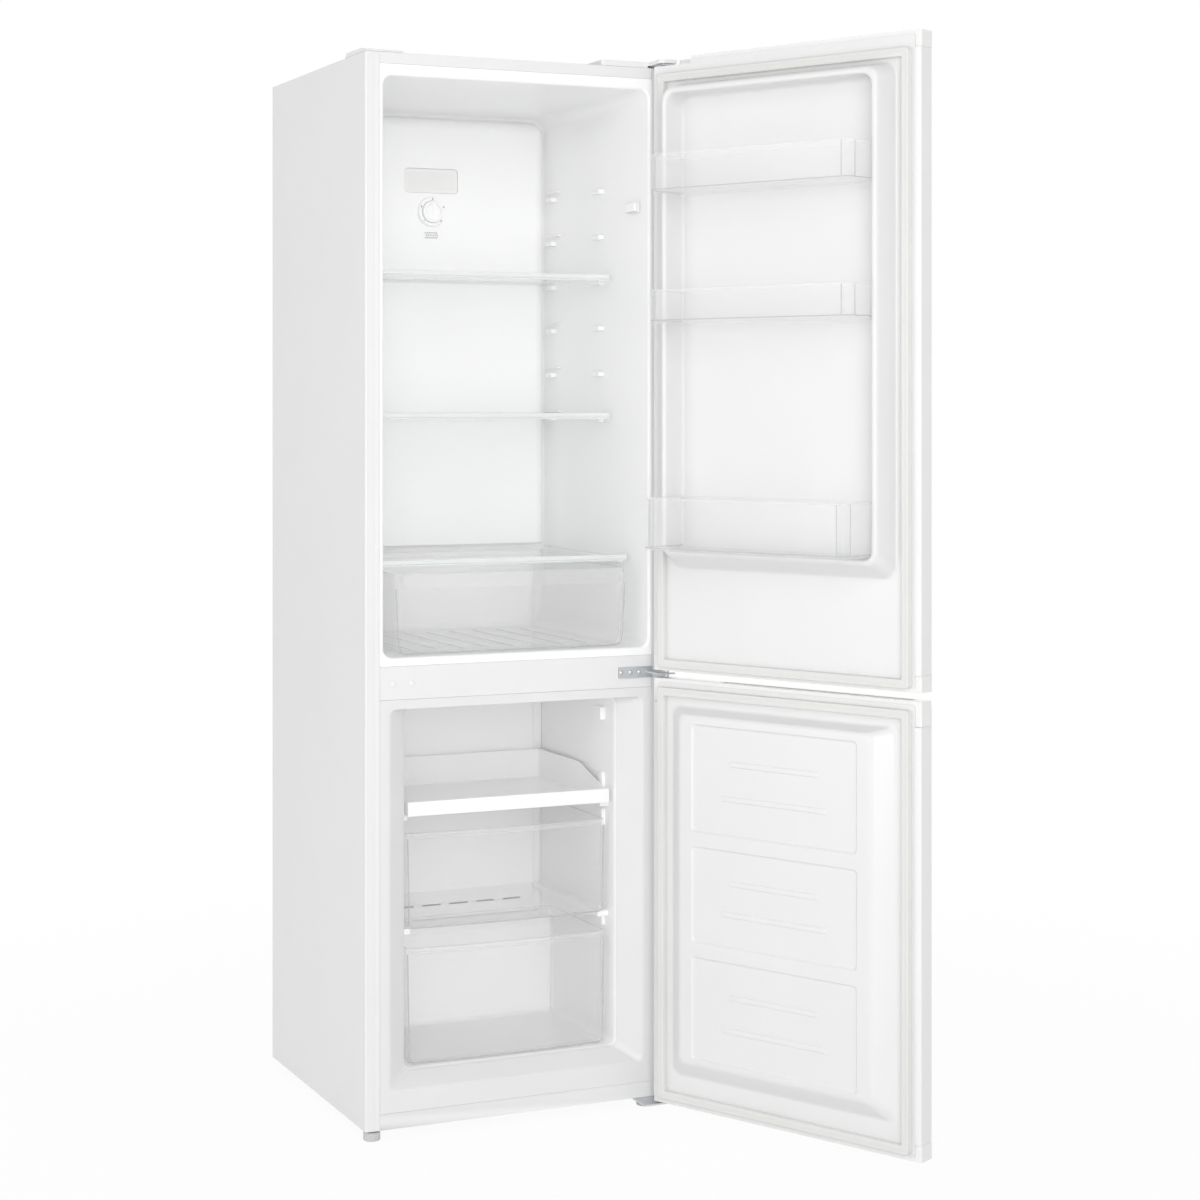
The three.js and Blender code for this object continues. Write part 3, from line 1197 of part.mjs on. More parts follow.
function middleHinge() {
  const right = HALF - STILE_WIDTH;
  const left = right - MIDDLE_PLATE_LENGTH;
  const low = DOOR_SPLIT_LOW - MIDDLE_PLATE_OVERLAP;
  const high = DOOR_SPLIT_HIGH + MIDDLE_PLATE_OVERLAP;
  const plate = block(left, right, -FIT - HINGE_PLATE, -FIT, low, high);
  const arm = block(armSpan[0] - ARM_HALF_WIDTH, armSpan[1], armNose, -FIT, middleArmLow, middleArmHigh);
  const pinLow = DOOR_SPLIT_LOW - PIN_REACH;
  const pinHigh = DOOR_SPLIT_HIGH + PIN_REACH;
  return join(plate, arm, rodZ(PIN_RADIUS, PIVOT_X, PIVOT_Y, pinLow, pinHigh));
}

function bottomHinge() {
  const left = HALF - RIGHT_FOOT_INSET - 2 * FOOT_RADIUS;
  const rear = FOOT_PLACE + 2 * FOOT_RADIUS;
  const plate = block(left, armSpan[1], armNose, rear, bottomArmHigh - HINGE_PLATE, bottomArmHigh);
  const pin = rodZ(PIN_RADIUS, PIVOT_X, PIVOT_Y, bottomArmHigh - 1, DOOR_BOTTOM + PIN_REACH);
  const stemHole = rodZ(
    FOOT_STEM_RADIUS + RUN,
    HALF - RIGHT_FOOT_INSET,
    FOOT_PLACE,
    bottomArmHigh - HINGE_PLATE - OVERRUN,
    bottomArmHigh + OVERRUN,
  );
  return join(cut(plate, stemHole), pin);
}

function hingeCover() {
  const low = CABINET_TOP + FIT;
  const left = HALF - HINGE_COVER_WIDTH;
  const noseLeft = armSpan[0] - COVER_NOSE_MARGIN;
  const plan = [
    [left, HINGE_COVER_WALL],
    [left + HINGE_COVER_WALL, 0],
    [noseLeft, 0],
    [noseLeft, DOOR_FACE + COVER_NOSE_MARGIN],
    [noseLeft + COVER_NOSE_MARGIN, DOOR_FACE],
    [HALF, DOOR_FACE],
    [HALF, HINGE_COVER_DEPTH],
    [left, HINGE_COVER_DEPTH],
  ];
  const margin = 2 * FIT;
  const plateLeft = armSpan[1] - TOP_PLATE_LENGTH - margin;
  const plateRoof = DOOR_TOP - HINGE_COVER_WALL;
  const overPlate = block(plateLeft, HALF + OVERRUN, 1, TOP_PLATE_DEPTH + margin, low - OVERRUN, plateRoof);
  const [armFront, armRoof] = [DOOR_FACE - OVERRUN, topArmHigh + FIT];
  const overArm = block(noseLeft - OVERRUN, HALF + OVERRUN, armFront, 2, low - OVERRUN, armRoof);
  return cut(prismZ(plan, low, DOOR_TOP), overPlate, overArm);
}

piece(group, 'top_hinge', topHinge(), zincSteel);
piece(group, 'middle_hinge', middleHinge(), zincSteel);
piece(group, 'bottom_hinge', bottomHinge(), zincSteel);
piece(group, 'hinge_cover', hingeCover(), whitePlastic);

// ---- Doors ----

// A group turned about the hinge pins, so that its pieces can be written in their closed place.
function swungLeaf() {
  const hinge = new THREE.Group();
  hinge.position.set(PIVOT_X, PIVOT_Y, 0);
  hinge.rotation.z = DOOR_ANGLE;
  const leaf = new THREE.Group();
  leaf.position.set(-PIVOT_X, -PIVOT_Y, 0);
  hinge.add(leaf);
  group.add(hinge);
  return leaf;
}

// One corner of a door's outer face, from its middle round to its side.
function faceCorner(half, y, radius) {
  return Array.from({ length: ARC_STEPS + 1 }, (_, step) => {
    const angle = (step / ARC_STEPS) * (Math.PI / 2);
    return [half - radius + radius * Math.sin(angle), y + radius - radius * Math.cos(angle)];
  });
}

const mirrored = (points) => points.map(([x, y]) => [-x, y]).reverse();

function doorSkin(low, high) {
  const lipTop = LINER_BACK - FIT;
  const rolled = [
    [DOOR_HALF, RIM - EDGE_ROLL_DROP],
    [DOOR_HALF - EDGE_ROLL, RIM],
    [DOOR_HALF - EDGE_ROLL, lipTop],
    [DOOR_HALF - EDGE_ROLL - SKIN_LIP, lipTop],
    [DOOR_HALF - EDGE_ROLL - SKIN_LIP, lipTop - SHEET],
    [DOOR_HALF - EDGE_ROLL + SHEET, lipTop - SHEET],
    [DOOR_HALF - SHEET, RIM - EDGE_ROLL_DROP - SHEET],
  ];
  const inner = faceCorner(DOOR_HALF - SHEET, DOOR_FACE + SHEET, DOOR_CORNER - SHEET).reverse();
  const right = [...faceCorner(DOOR_HALF, DOOR_FACE, DOOR_CORNER), ...rolled, ...inner];
  const left = mirrored(right);
  return prismZ([...right, ...left], low, high);
}

// The body of a door cap before its pocket is made.
function capBody(low, high) {
  const side = [[DOOR_HALF, RIM - EDGE_ROLL_DROP], [DOOR_HALF - EDGE_ROLL / 2, LINER_BACK - FIT]];
  const right = [...faceCorner(DOOR_HALF, DOOR_FACE, DOOR_CORNER), ...side];
  return prismZ([...right, ...mirrored(right)], low, high);
}

function capPocket(low, high) {
  const wall = DOOR_CAP_WALL;
  return block(-DOOR_HALF + wall, PIVOT_X - CAP_BLOCK, DOOR_FACE + wall, LINER_BACK - FIT - wall, low, high);
}

const pinHole = (low, high) => rodZ(PIN_RADIUS + RUN, PIVOT_X, PIVOT_Y, low, high);

function notch() {
  const [left, right] = [DOOR_HALF - NOTCH_WIDTH, DOOR_HALF + OVERRUN];
  return block(left, right, DOOR_FACE - OVERRUN, 0, NOTCH_FLOOR, DOOR_TOP + OVERRUN);
}

function upperTopCap() {
  const low = DOOR_TOP - DOOR_CAP_HEIGHT;
  return cut(
    capBody(low, DOOR_TOP),
    capPocket(low - OVERRUN, NOTCH_FLOOR - DOOR_CAP_WALL),
    notch(),
    pinHole(low - OVERRUN, NOTCH_FLOOR + OVERRUN),
  );
}

function bottomCap(low) {
  const high = low + DOOR_CAP_HEIGHT;
  return cut(
    capBody(low, high),
    capPocket(low + DOOR_CAP_WALL, high + OVERRUN),
    pinHole(low - OVERRUN, low + PIN_REACH + FIT),
  );
}

function gripCap() {
  const high = DOOR_SPLIT_LOW;
  const low = high - GRIP_CAP_HEIGHT;
  const slope = [
    [DOOR_FACE - OVERRUN, high - GRIP_CHAMFER_HEIGHT],
    [DOOR_FACE, high - GRIP_CHAMFER_HEIGHT],
    [DOOR_FACE + GRIP_CHAMFER, high],
    [DOOR_FACE + GRIP_CHAMFER, high + OVERRUN],
    [DOOR_FACE - OVERRUN, high + OVERRUN],
  ];
  const channelFront = DOOR_FACE + GRIP_CHAMFER + GRIP_LIP;
  const channelLeft = -DOOR_HALF + GRIP_INSET;
  const channelFloor = high - GRIP_CHANNEL_DEPTH;
  const channel = block(
    channelLeft,
    channelLeft + GRIP_LENGTH,
    channelFront,
    channelFront + GRIP_CHANNEL,
    channelFloor,
    high + OVERRUN,
  );
  return cut(
    capBody(low, high),
    capPocket(low - OVERRUN, channelFloor - DOOR_CAP_WALL),
    prismX(slope, -DOOR_HALF - OVERRUN, DOOR_HALF + OVERRUN),
    channel,
    pinHole(high - PIN_REACH - FIT, high + OVERRUN),
  );
}

const flange = (low, high) =>
  loft([
    ringFacing(LINER_HALF, low + LINER_EDGE, high - LINER_EDGE, GASKET_RADIUS, LINER_BACK),
    ringFacing(LINER_HALF, low + LINER_EDGE, high - LINER_EDGE, GASKET_RADIUS, RIM),
  ]);

// A raised form on a door liner: its foot lies on the rim's plane, and its sides, foot and top lean in by
// the three tapers. Shrunk by a wall, it is the hollow behind the form.
function raised({ inset, low, high, radius, rise, tapers: [taper, lowTaper, topTaper] }, shrink) {
  const half = HALF - inset - shrink;
  const [footLow, footHigh] = [low + shrink, high - shrink];
  const foot = (y) => ringFacing(half, footLow, footHigh, radius, y);
  const crest = RIM + rise - shrink;
  const top = ringFacing(half - taper, footLow + lowTaper, footHigh - topTaper, radius, crest);
  return loft([foot(LINER_BACK - (shrink ? OVERRUN : 0)), foot(RIM), top]);
}

function upperLiner() {
  const dyke = {
    inset: DYKE_INSET,
    low: DYKE_LOW,
    high: DYKE_HIGH,
    radius: DYKE_RADIUS,
    rise: DYKE_HEIGHT,
    tapers: [DYKE_TAPER, DYKE_LOW_TAPER, DYKE_TAPER],
  };
  const panel = {
    inset: PANEL_INSET,
    low: DOOR_SPLIT_HIGH + PANEL_LIFT,
    high: DYKE_LOW - PANEL_GAP,
    radius: PANEL_RADIUS,
    rise: PANEL_RISE,
    tapers: [PANEL_RISE, PANEL_RISE, PANEL_RISE],
  };
  const recess = (grow, y0) => {
    const high = DYKE_HIGH - DYKE_WIDTH + grow;
    const low = RECESS_LOW - grow;
    const ring = (y) => ringFacing(RECESS_HALF + grow, low, high, DYKE_RADIUS, y, RECESS_LOW_RADIUS);
    return loft([ring(y0), ring(RIM + DYKE_HEIGHT + OVERRUN)]);
  };
  const outside = join(flange(DOOR_SPLIT_HIGH, DOOR_TOP), raised(dyke, 0), raised(panel, 0));
  const dykeHollow = cut(raised(dyke, LINER), recess(LINER, LINER_BACK - 2 * OVERRUN));
  const seats = BIN_FLOORS.flatMap((floor) =>
    [-1, 1].map((side) => {
      const [a, b] = [RECESS_HALF - BIN_SEAT_REACH, RECESS_HALF + LINER / 2].map((x) => side * x);
      const rear = RIM + BIN_WALL;
      const seatLow = Math.max(floor - FIT - BIN_SEAT_HEIGHT, RECESS_LOW - LINER / 2);
      return block(Math.min(a, b), Math.max(a, b), rear, rear + BIN_SEAT_LENGTH, seatLow, floor - FIT);
    }),
  );
  const shell = cut(outside, recess(0, RIM), dykeHollow, raised(panel, LINER), notch());
  return join(shell, ...seats);
}

function lowerLiner() {
  const field = {
    inset: FIELD_INSET,
    low: FIELD_LOW,
    high: FIELD_HIGH,
    radius: FIELD_RADIUS,
    rise: FIELD_RISE,
    tapers: [FIELD_TAPER, FIELD_TAPER, FIELD_TOP_TAPER],
  };
  const crest = RIM + FIELD_RISE;
  const lowest = FIELD_LOW + SUNK_LOW_MARGIN;
  const gaps = SUNK_GAP * (SUNK_SHARES.length - 1);
  const room = FIELD_HIGH - SUNK_HIGH_MARGIN - lowest - gaps;
  let low = lowest;
  const sunk = SUNK_SHARES.map((share) => {
    const [from, to] = [low, low + room * share];
    low = to + SUNK_GAP;
    const half = HALF - SUNK_INSET;
    const ring = (inset, y) => ringFacing(half - inset, from + inset, to - inset, SUNK_RADIUS, y);
    return loft([ring(SUNK_DEPTH, crest - SUNK_DEPTH), ring(0, crest + FIT), ring(0, crest + OVERRUN)]);
  });
  return cut(join(flange(DOOR_BOTTOM, DOOR_SPLIT_LOW), raised(field, 0)), raised(field, FIELD_WALL), ...sunk);
}

function bin(floor, height, depth) {
  const half = RECESS_HALF - BIN_CLEARANCE;
  const rear = RIM + BIN_WALL;
  const options = { wall: BIN_WALL, bow: 0, radius: BIN_RADIUS, draft: 0 };
  // A tub's rounded corners are at its front. A bin's face the compartment, so the tub is turned round.
  return tub(half, -rear - depth, -rear, floor, floor + height, options).rotateZ(Math.PI);
}

const gasketHalf = HALF - GASKET_INSET;
const gasket = (low, high) => frame(gasketHalf, low, high, GASKET_RADIUS, GASKET_WIDTH, RIM + FIT, -FIT);

const upperLeaf = swungLeaf();
piece(
  upperLeaf,
  'upper_door_skin',
  doorSkin(DOOR_SPLIT_HIGH + DOOR_CAP_HEIGHT + FIT, DOOR_TOP - DOOR_CAP_HEIGHT - FIT),
  whiteEnamel,
);
piece(upperLeaf, 'upper_door_top_cap', upperTopCap(), whitePlastic);
piece(upperLeaf, 'upper_door_bottom_cap', bottomCap(DOOR_SPLIT_HIGH), whitePlastic);
piece(upperLeaf, 'upper_door_liner', upperLiner(), linerPlastic);
piece(
  upperLeaf,
  'upper_door_gasket',
  gasket(DOOR_SPLIT_HIGH + UPPER_GASKET_RISE, DOOR_TOP - UPPER_GASKET_DROP),
  sealRubber,
);
['bin_top', 'bin_middle', 'bin_bottom'].forEach((name, i) => {
  const depth = BIN_DEPTH + (name === 'bin_bottom' ? BOTTOM_BIN_EXTRA : 0);
  piece(upperLeaf, name, bin(BIN_FLOORS[i], BIN_HEIGHTS[i], depth), clearPlastic);
});

const lowerLeaf = swungLeaf();
piece(
  lowerLeaf,
  'lower_door_skin',
  doorSkin(DOOR_BOTTOM + DOOR_CAP_HEIGHT + FIT, DOOR_SPLIT_LOW - GRIP_CAP_HEIGHT - FIT),
  whiteEnamel,
);
piece(lowerLeaf, 'lower_door_top_cap', gripCap(), whitePlastic);
piece(lowerLeaf, 'lower_door_bottom_cap', bottomCap(DOOR_BOTTOM), whitePlastic);
piece(lowerLeaf, 'lower_door_liner', lowerLiner(), linerPlastic);
piece(
  lowerLeaf,
  'lower_door_gasket',
  gasket(DOOR_BOTTOM + LOWER_GASKET_RISE, DOOR_SPLIT_LOW - LOWER_GASKET_DROP),
  sealRubber,
);

// The origin is on the floor, under the middle of everything's box.
group.updateMatrixWorld(true);
const box = new THREE.Box3().setFromObject(group, true);
const centre = box.getCenter(new THREE.Vector3());
group.position.set(-centre.x, -centre.y, -box.min.z);

export default group;
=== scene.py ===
"""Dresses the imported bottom-freezer refrigerator. Lengths in the code are millimetres in the cabinet's own
frame, X from its middle, Y from its front face and Z from the floor; door pieces are drawn closed and then
turned open. Every finished mesh is in metres, in the row frame."""

import json
import math

import bmesh
import bpy
from bpy.props import FloatProperty, FloatVectorProperty, IntProperty, PointerProperty
from mathutils import Matrix, Vector

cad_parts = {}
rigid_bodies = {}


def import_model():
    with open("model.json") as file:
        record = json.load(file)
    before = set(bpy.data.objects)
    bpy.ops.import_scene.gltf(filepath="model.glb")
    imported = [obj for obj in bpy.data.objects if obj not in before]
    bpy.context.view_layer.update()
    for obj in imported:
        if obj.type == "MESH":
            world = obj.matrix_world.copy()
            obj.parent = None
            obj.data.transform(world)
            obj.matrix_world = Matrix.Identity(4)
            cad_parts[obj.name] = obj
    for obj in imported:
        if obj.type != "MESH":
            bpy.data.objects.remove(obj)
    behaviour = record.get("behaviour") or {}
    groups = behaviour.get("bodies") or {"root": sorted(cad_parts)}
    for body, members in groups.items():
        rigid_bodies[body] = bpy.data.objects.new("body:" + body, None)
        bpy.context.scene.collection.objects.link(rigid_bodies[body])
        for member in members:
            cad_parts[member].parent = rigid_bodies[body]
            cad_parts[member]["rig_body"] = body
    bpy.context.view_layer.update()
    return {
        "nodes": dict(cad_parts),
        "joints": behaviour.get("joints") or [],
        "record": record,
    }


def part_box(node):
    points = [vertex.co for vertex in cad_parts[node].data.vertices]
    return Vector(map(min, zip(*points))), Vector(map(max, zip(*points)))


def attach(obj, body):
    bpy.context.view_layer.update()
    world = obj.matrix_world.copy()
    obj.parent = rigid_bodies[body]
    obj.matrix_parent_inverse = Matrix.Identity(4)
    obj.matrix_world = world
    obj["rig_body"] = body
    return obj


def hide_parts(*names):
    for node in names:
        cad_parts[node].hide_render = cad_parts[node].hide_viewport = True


bl_info = {
    "name": "Bottom-freezer refrigerator",
    "version": (1, 0, 0),
    "blender": (4, 5, 0),
    "location": "View3D > Sidebar > Refrigerator",
    "description": "Builds the pieces and finishes of a two-door refrigerator with its freezer below",
    "category": "Object",
}

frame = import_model()

# ---- Where things are ----

MM = 0.001
SWING = next(j for j in frame["joints"] if j["name"] == "upper_door_swing")
PIVOT = Vector((SWING["pos_m"][0], SWING["pos_m"][1], 0))
OPEN_ANGLE = math.radians(-SWING["range_deg"][0])
FRONT_CORNER, REAR_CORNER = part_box("top_panel")
MIDDLE_X = (FRONT_CORNER.x + REAR_CORNER.x) / 2
CABINET = Matrix.Translation((MIDDLE_X, FRONT_CORNER.y, 0)) @ Matrix.Scale(MM, 4)
TURNED = Matrix.Translation(PIVOT) @ Matrix.Rotation(OPEN_ANGLE, 4, "Z") @ Matrix.Translation(-PIVOT)
DOOR = TURNED @ CABINET
DOOR_BINS = ("bin_top", "bin_middle", "bin_bottom")
DOOR_BODIES = ("upper_door", "lower_door", *DOOR_BINS)


def place_of(body):
    """From a body's millimetres to its place in the row frame, with the doors open."""
    return DOOR if body in DOOR_BODIES else CABINET


class Span:
    """A CAD node's box and its middle in millimetres, in the closed cabinet's frame."""

    def __init__(self, name):
        node = frame["nodes"][name]
        back = place_of(node["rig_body"]).inverted()
        points = [back @ v.co for v in node.data.vertices]
        self.x0, self.y0, self.z0 = (min(p[i] for p in points) for i in range(3))
        self.x1, self.y1, self.z1 = (max(p[i] for p in points) for i in range(3))
        self.mid_x, self.mid_y = (self.x0 + self.x1) / 2, (self.y0 + self.y1) / 2
        self.mid_z = (self.z0 + self.z1) / 2


# ---- Sizes and colours a user would change ----


def linear(code):
    """An sRGB hex colour as the linear values that Blender's sockets take."""
    channels = (int(code[i : i + 2], 16) / 255 for i in (1, 3, 5))
    return tuple(c / 12.92 if c <= 0.04045 else ((c + 0.055) / 1.055) ** 2.4 for c in channels)


def length(name, description, millimetres):
    return FloatProperty(name=name, description=description, default=millimetres * MM, unit="LENGTH")


def power(name, description, watts):
    return FloatProperty(name=name, description=description, default=watts, min=0, subtype="POWER")


def colour(name, description, code):
    return FloatVectorProperty(
        name=name, description=description, default=linear(code), size=3, subtype="COLOR", min=0, max=1
    )


class FridgeShellSizes(bpy.types.PropertyGroup):
    fold: length("Fold radius", "Outside radius where the side panels fold to the front", 2.5)
    stile_groove: length("Stile groove", "Cabinet side to the pressed line down each stile", 17)
    groove_width: length("Groove width", "Width of the pressed line down each stile", 3.4)
    rear_press: length("Rear pressing", "Depth of the pressed field of the rear panel", 3)
    screw_head: length("Screw head", "Radius of the pan-head screws", 4)
    screw_pitch: length("Screw pitch", "Distance between the rear panel's screws", 205)


class FridgeInsideSizes(bpy.types.PropertyGroup):
    lip: length("Liner lip", "Radius where the liner turns out to its flange", 5)
    rear_fillet: length("Rear fillet", "Radius between the fridge liner's walls and its back", 14)
    boss_round: length("Support rounding", "Rounding of the moulded shelf supports", 2.5)
    grille_hole: length("Grille hole", "Radius of the round holes under the dial", 1.3)
    grille_pitch: length("Grille pitch", "Distance between the grille's holes", 4.4)
    rib: length("Crisper rib", "Width of the ribs on the crisper's floor", 2.4)
    rib_pitch: length("Rib pitch", "Distance between the crisper's ribs", 46)
    rib_count: IntProperty(name="Rib count", description="Ribs on the crisper's floor", default=8, min=2)
    fin_count: IntProperty(name="Fin count", description="Fins on the evaporator", default=42, min=2)


class FridgeDoorSizes(bpy.types.PropertyGroup):
    cap_edge: length("Cap edge", "Rounding along the edges of the moulded door caps", 1.2)
    dyke_round: length("Dyke rounding", "Radius over the crest of the upper door's dyke", 9)
    rib_rise: length("Panel rib", "How far the freezer door's ribs stand out of its panels", 1.8)
    bin_rim: length("Bin rim", "How far the door bins' rims stand out", 1.6)
    gasket_groove: length("Gasket groove", "Depth of the folds in the door gaskets", 2.2)


class FridgeColours(bpy.types.PropertyGroup):
    enamel: colour("Enamel", "Pre-painted steel of the cabinet and door skins", "#E7E7E7")
    # The liner and door liner are one polystyrene: the liner's lighter tint is painted light for the shaded
    # cavities, the door liner's darker tint painted shade for fully lit faces.
    liner: colour("Liner", "Formed polystyrene of the two compartments", "#FAFAFA")
    door_liner: colour("Door liner", "Formed polystyrene of the two doors", "#E4E4E4")
    moulding: colour("Moulding", "Moulded white caps, plugs and switch housing", "#EAEAE9")
    lens: colour("Lens", "Opal lens over the fridge's lamp", "#F1F1F0")
    clear: colour("Clear plastic", "Moulded clear drawers and bins", "#F8F8F8")
    clear_trim: colour("Clear trims", "Shelf trims, denser than the tubs", "#F6F8F8")
    # The clear edges' grey is painted shade for the dark refraction lines along the clear mouldings' rims and
    # edges.
    clear_edge: colour("Clear edges", "Rims and thick edges of the clear mouldings", "#CDD1D2")
    glass: colour("Glass", "Toughened shelf glass", "#F3F6F5")
    gasket: colour("Gasket", "Soft magnetic gaskets", "#DEDEDC")
    zinc: colour("Zinc steel", "Zinc-plated hinges, axles and screws", "#D3D5D8")
    galvanised: colour("Galvanised steel", "Rear panel, bay panel, base and motor", "#C4C7C9")
    grey_plastic: colour("Grey plastic", "Levelling feet", "#C8C8C8")
    black_plastic: colour("Black plastic", "Fan, thermostat box and drip tray", "#1D1D1F")
    rubber: colour("Rubber", "Rollers and compressor mounts", "#222222")
    black_enamel: colour("Black enamel", "Compressor shell", "#181818")
    copper: colour("Copper", "Refrigerant pipes and filter drier", "#C77B58")
    aluminium: colour("Aluminium", "Evaporator fins and tubes", "#CFD2D4")


class FridgeStage(bpy.types.PropertyGroup):
    sky: FloatProperty(name="Sky", description="Strength of the even light all round", default=0.62, min=0)
    key: power("Key lamp", "Power of the large soft lamp ahead", 53)
    low: power("Low lamp", "Power of the soft lamp near the floor", 37)
    side: power("Side lamp", "Power of the soft lamp at the left", 38)
    back: power("Back lamp", "Power of the soft lamp behind", 45)
    focal: FloatProperty(name="Focal length", description="The camera's focal length", default=74.11)


GROUPS = {
    "fridge_shell": FridgeShellSizes,
    "fridge_inside": FridgeInsideSizes,
    "fridge_door": FridgeDoorSizes,
    "fridge_colours": FridgeColours,
    "fridge_stage": FridgeStage,
}


def sizes(group):
    """One group's lengths in millimetres, with its counts as they are."""
    values = getattr(bpy.context.scene, group)
    found = {}
    for key in values.bl_rna.properties.keys():
        value = getattr(values, key)
        if isinstance(value, float):
            found[key] = value / MM
        elif isinstance(value, int):
            found[key] = value
    return found


# ---- Finishes ----


def add(tree, kind, settings=None, links=None):
    """Adds one node, sets its attributes and unlinked inputs, and links the rest."""
    made = tree.nodes.new(kind)
    for key, value in (settings or {}).items():
        if isinstance(key, str) and hasattr(made, key):
            setattr(made, key, value)
        else:
            made.inputs[key].default_value = value
    for key, socket in (links or {}).items():
        tree.links.new(socket, made.inputs[key])
    return made


def empty_tree(owner):
    """The node tree of a new material or world, without its default nodes."""
    owner.use_nodes = True
    owner.node_tree.nodes.clear()
    return owner.node_tree


def finish(
    name, tint, rough, grain, depth, shade=0.97, spread=0.05, stretch=(1, 1, 1), cover=None, **settings
):
    """A node material. grain and depth are the surface's texture in millimetres, shade is how dark its cloudy
    patches are, spread is how far its roughness wanders, and stretch draws the grain out along an axis. cover
    is how much a clear wall hides, seen straight on and seen along it."""
    material = bpy.data.materials.get(name)
    if material:
        return material
    material = bpy.data.materials.new(name)
    tree = empty_tree(material)
    where = add(tree, "ShaderNodeTexCoord")
    drawn = add(tree, "ShaderNodeMapping", {"Scale": stretch}, {"Vector": where.outputs["Object"]})
    pores = {"Scale": 1 / (grain * MM), "Detail": 3.0}
    fine = add(tree, "ShaderNodeTexNoise", pores, {"Vector": drawn.outputs["Vector"]})
    patches = {"Scale": 7.0, "Detail": 2.0}
    clouds = add(tree, "ShaderNodeTexNoise", patches, {"Vector": where.outputs["Object"]})
    ramp = add(tree, "ShaderNodeValToRGB", links={"Fac": clouds.outputs["Fac"]})
    light = tuple(getattr(bpy.context.scene.fridge_colours, tint))
    ramp.color_ramp.elements[0].position = 0.3
    ramp.color_ramp.elements[0].color = (*(c * shade for c in light), 1)
    ramp.color_ramp.elements[1].position = 0.7
    ramp.color_ramp.elements[1].color = (*light, 1)
    wander = {"To Min": max(rough - spread, 0), "To Max": rough + spread}
    sheen = add(tree, "ShaderNodeMapRange", wander, {"Value": fine.outputs["Fac"]})
    height = {"Strength": 1.0, "Distance": depth * MM}
    relief = add(tree, "ShaderNodeBump", height, {"Height": fine.outputs["Fac"]})
    shader = add(
        tree,
        "ShaderNodeBsdfPrincipled",
        {key.replace("_", " ").title().replace("Ior", "IOR"): value for key, value in settings.items()},
        {
            "Base Color": ramp.outputs["Color"],
            "Roughness": sheen.outputs["Result"],
            "Normal": relief.outputs["Normal"],
        },
    )
    if cover:
        slant = add(tree, "ShaderNodeLayerWeight", {"Blend": 0.4})
        reach = {"To Min": cover[0], "To Max": cover[1]}
        hidden = add(tree, "ShaderNodeMapRange", reach, {"Value": slant.outputs["Facing"]})
        tree.links.new(hidden.outputs["Result"], shader.inputs["Alpha"])
    add(tree, "ShaderNodeOutputMaterial", links={"Surface": shader.outputs["BSDF"]})
    return material


def painted_steel():
    # Pre-painted steel sheet, polyester enamel rolled on: an even gloss over a very shallow orange peel.
    return finish("prepainted_steel_sheet", "enamel", 0.4, 3.0, 0.003, shade=0.985)


def formed_polystyrene():
    # Vacuum-formed high-impact polystyrene: glossy, drawn thin in the corners, so it is faintly cloudy.
    # Its light tint is partly painted light: lighter than the same plastic on the doors, to make up for the
    # shade inside the compartments.
    return finish("vacuum_formed_polystyrene", "liner", 0.3, 5.0, 0.003, shade=0.985)


def formed_door_liner():
    # The same formed polystyrene with painted shade: a greyer tint for faces that the lamps light fully, on
    # the doors' liners and the freezer liner's flange and mouth.
    return finish("vacuum_formed_door_liner", "door_liner", 0.3, 5.0, 0.003, shade=0.985)


def moulded_abs():
    # Injection-moulded ABS: a fine satin spark-eroded texture, drawn at twice its real grain to show.
    return finish("injection_moulded_abs", "moulding", 0.42, 0.8, 0.003, shade=0.985)


def moulded_polystyrene():
    # Injection-moulded white polystyrene of the tray, dial and switch: glossier than the caps, in the liner's
    # lighter tint.
    # The dial matches the duct cover; on the tray and the switch button the whiter tint is painted light that
    # makes up for their shade.
    return finish("injection_moulded_polystyrene", "liner", 0.34, 1.6, 0.003, shade=0.985)


def opal_polystyrene():
    # Opal polystyrene of the lamp's lens: a white filler makes it milky right through.
    return finish("opal_moulded_polystyrene", "lens", 0.42, 0.8, 0.003, shade=0.985)


def clear_polystyrene():
    # Clear moulded general-purpose polystyrene: bright edges, faint flow lines and a slight milkiness.
    return finish(
        "clear_moulded_polystyrene", "clear", 0.08, 14.0, 0.01, spread=0.03, cover=(0.04, 0.34), ior=1.59
    )


def polystyrene_trim():
    # Thick satin mouldings of the same plastic: most of the light that enters is scattered back.
    return finish(
        "satin_polystyrene_trim", "clear_trim", 0.2, 14.0, 0.01, spread=0.03, cover=(0.75, 0.92), ior=1.59
    )


def polystyrene_edge():
    # Painted shade on the same clear polystyrene: a grey, denser copy for rims, edges and beads, standing in
    # for the dark lines that refraction draws along them.
    return finish(
        "clear_polystyrene_edge", "clear_edge", 0.12, 14.0, 0.01, spread=0.03, cover=(0.6, 0.85), ior=1.59
    )


def float_glass():
    # Toughened float glass: flat and very smooth, with a cool green cast and bright ground edges.
    return finish(
        "toughened_float_glass", "glass", 0.03, 60.0, 0.005, spread=0.01, cover=(0.04, 0.34), ior=1.52
    )


def soft_pvc():
    # Extruded soft PVC of the magnetic gasket: a dull, slightly waxy off-white.
    return finish("extruded_soft_pvc", "gasket", 0.55, 2.0, 0.02, shade=0.97)


def zinc_plate():
    # Zinc-plated pressed steel: a bluish bright coat, cloudy from the passivating bath.
    return finish("zinc_plated_steel", "zinc", 0.42, 1.6, 0.01, shade=0.84, spread=0.1, metallic=1.0)


def grey_polyamide():
    # Moulded light grey polyamide: dull, with the fine grain of its glass filling.
    return finish("moulded_grey_polyamide", "grey_plastic", 0.5, 0.9, 0.01, shade=0.94)


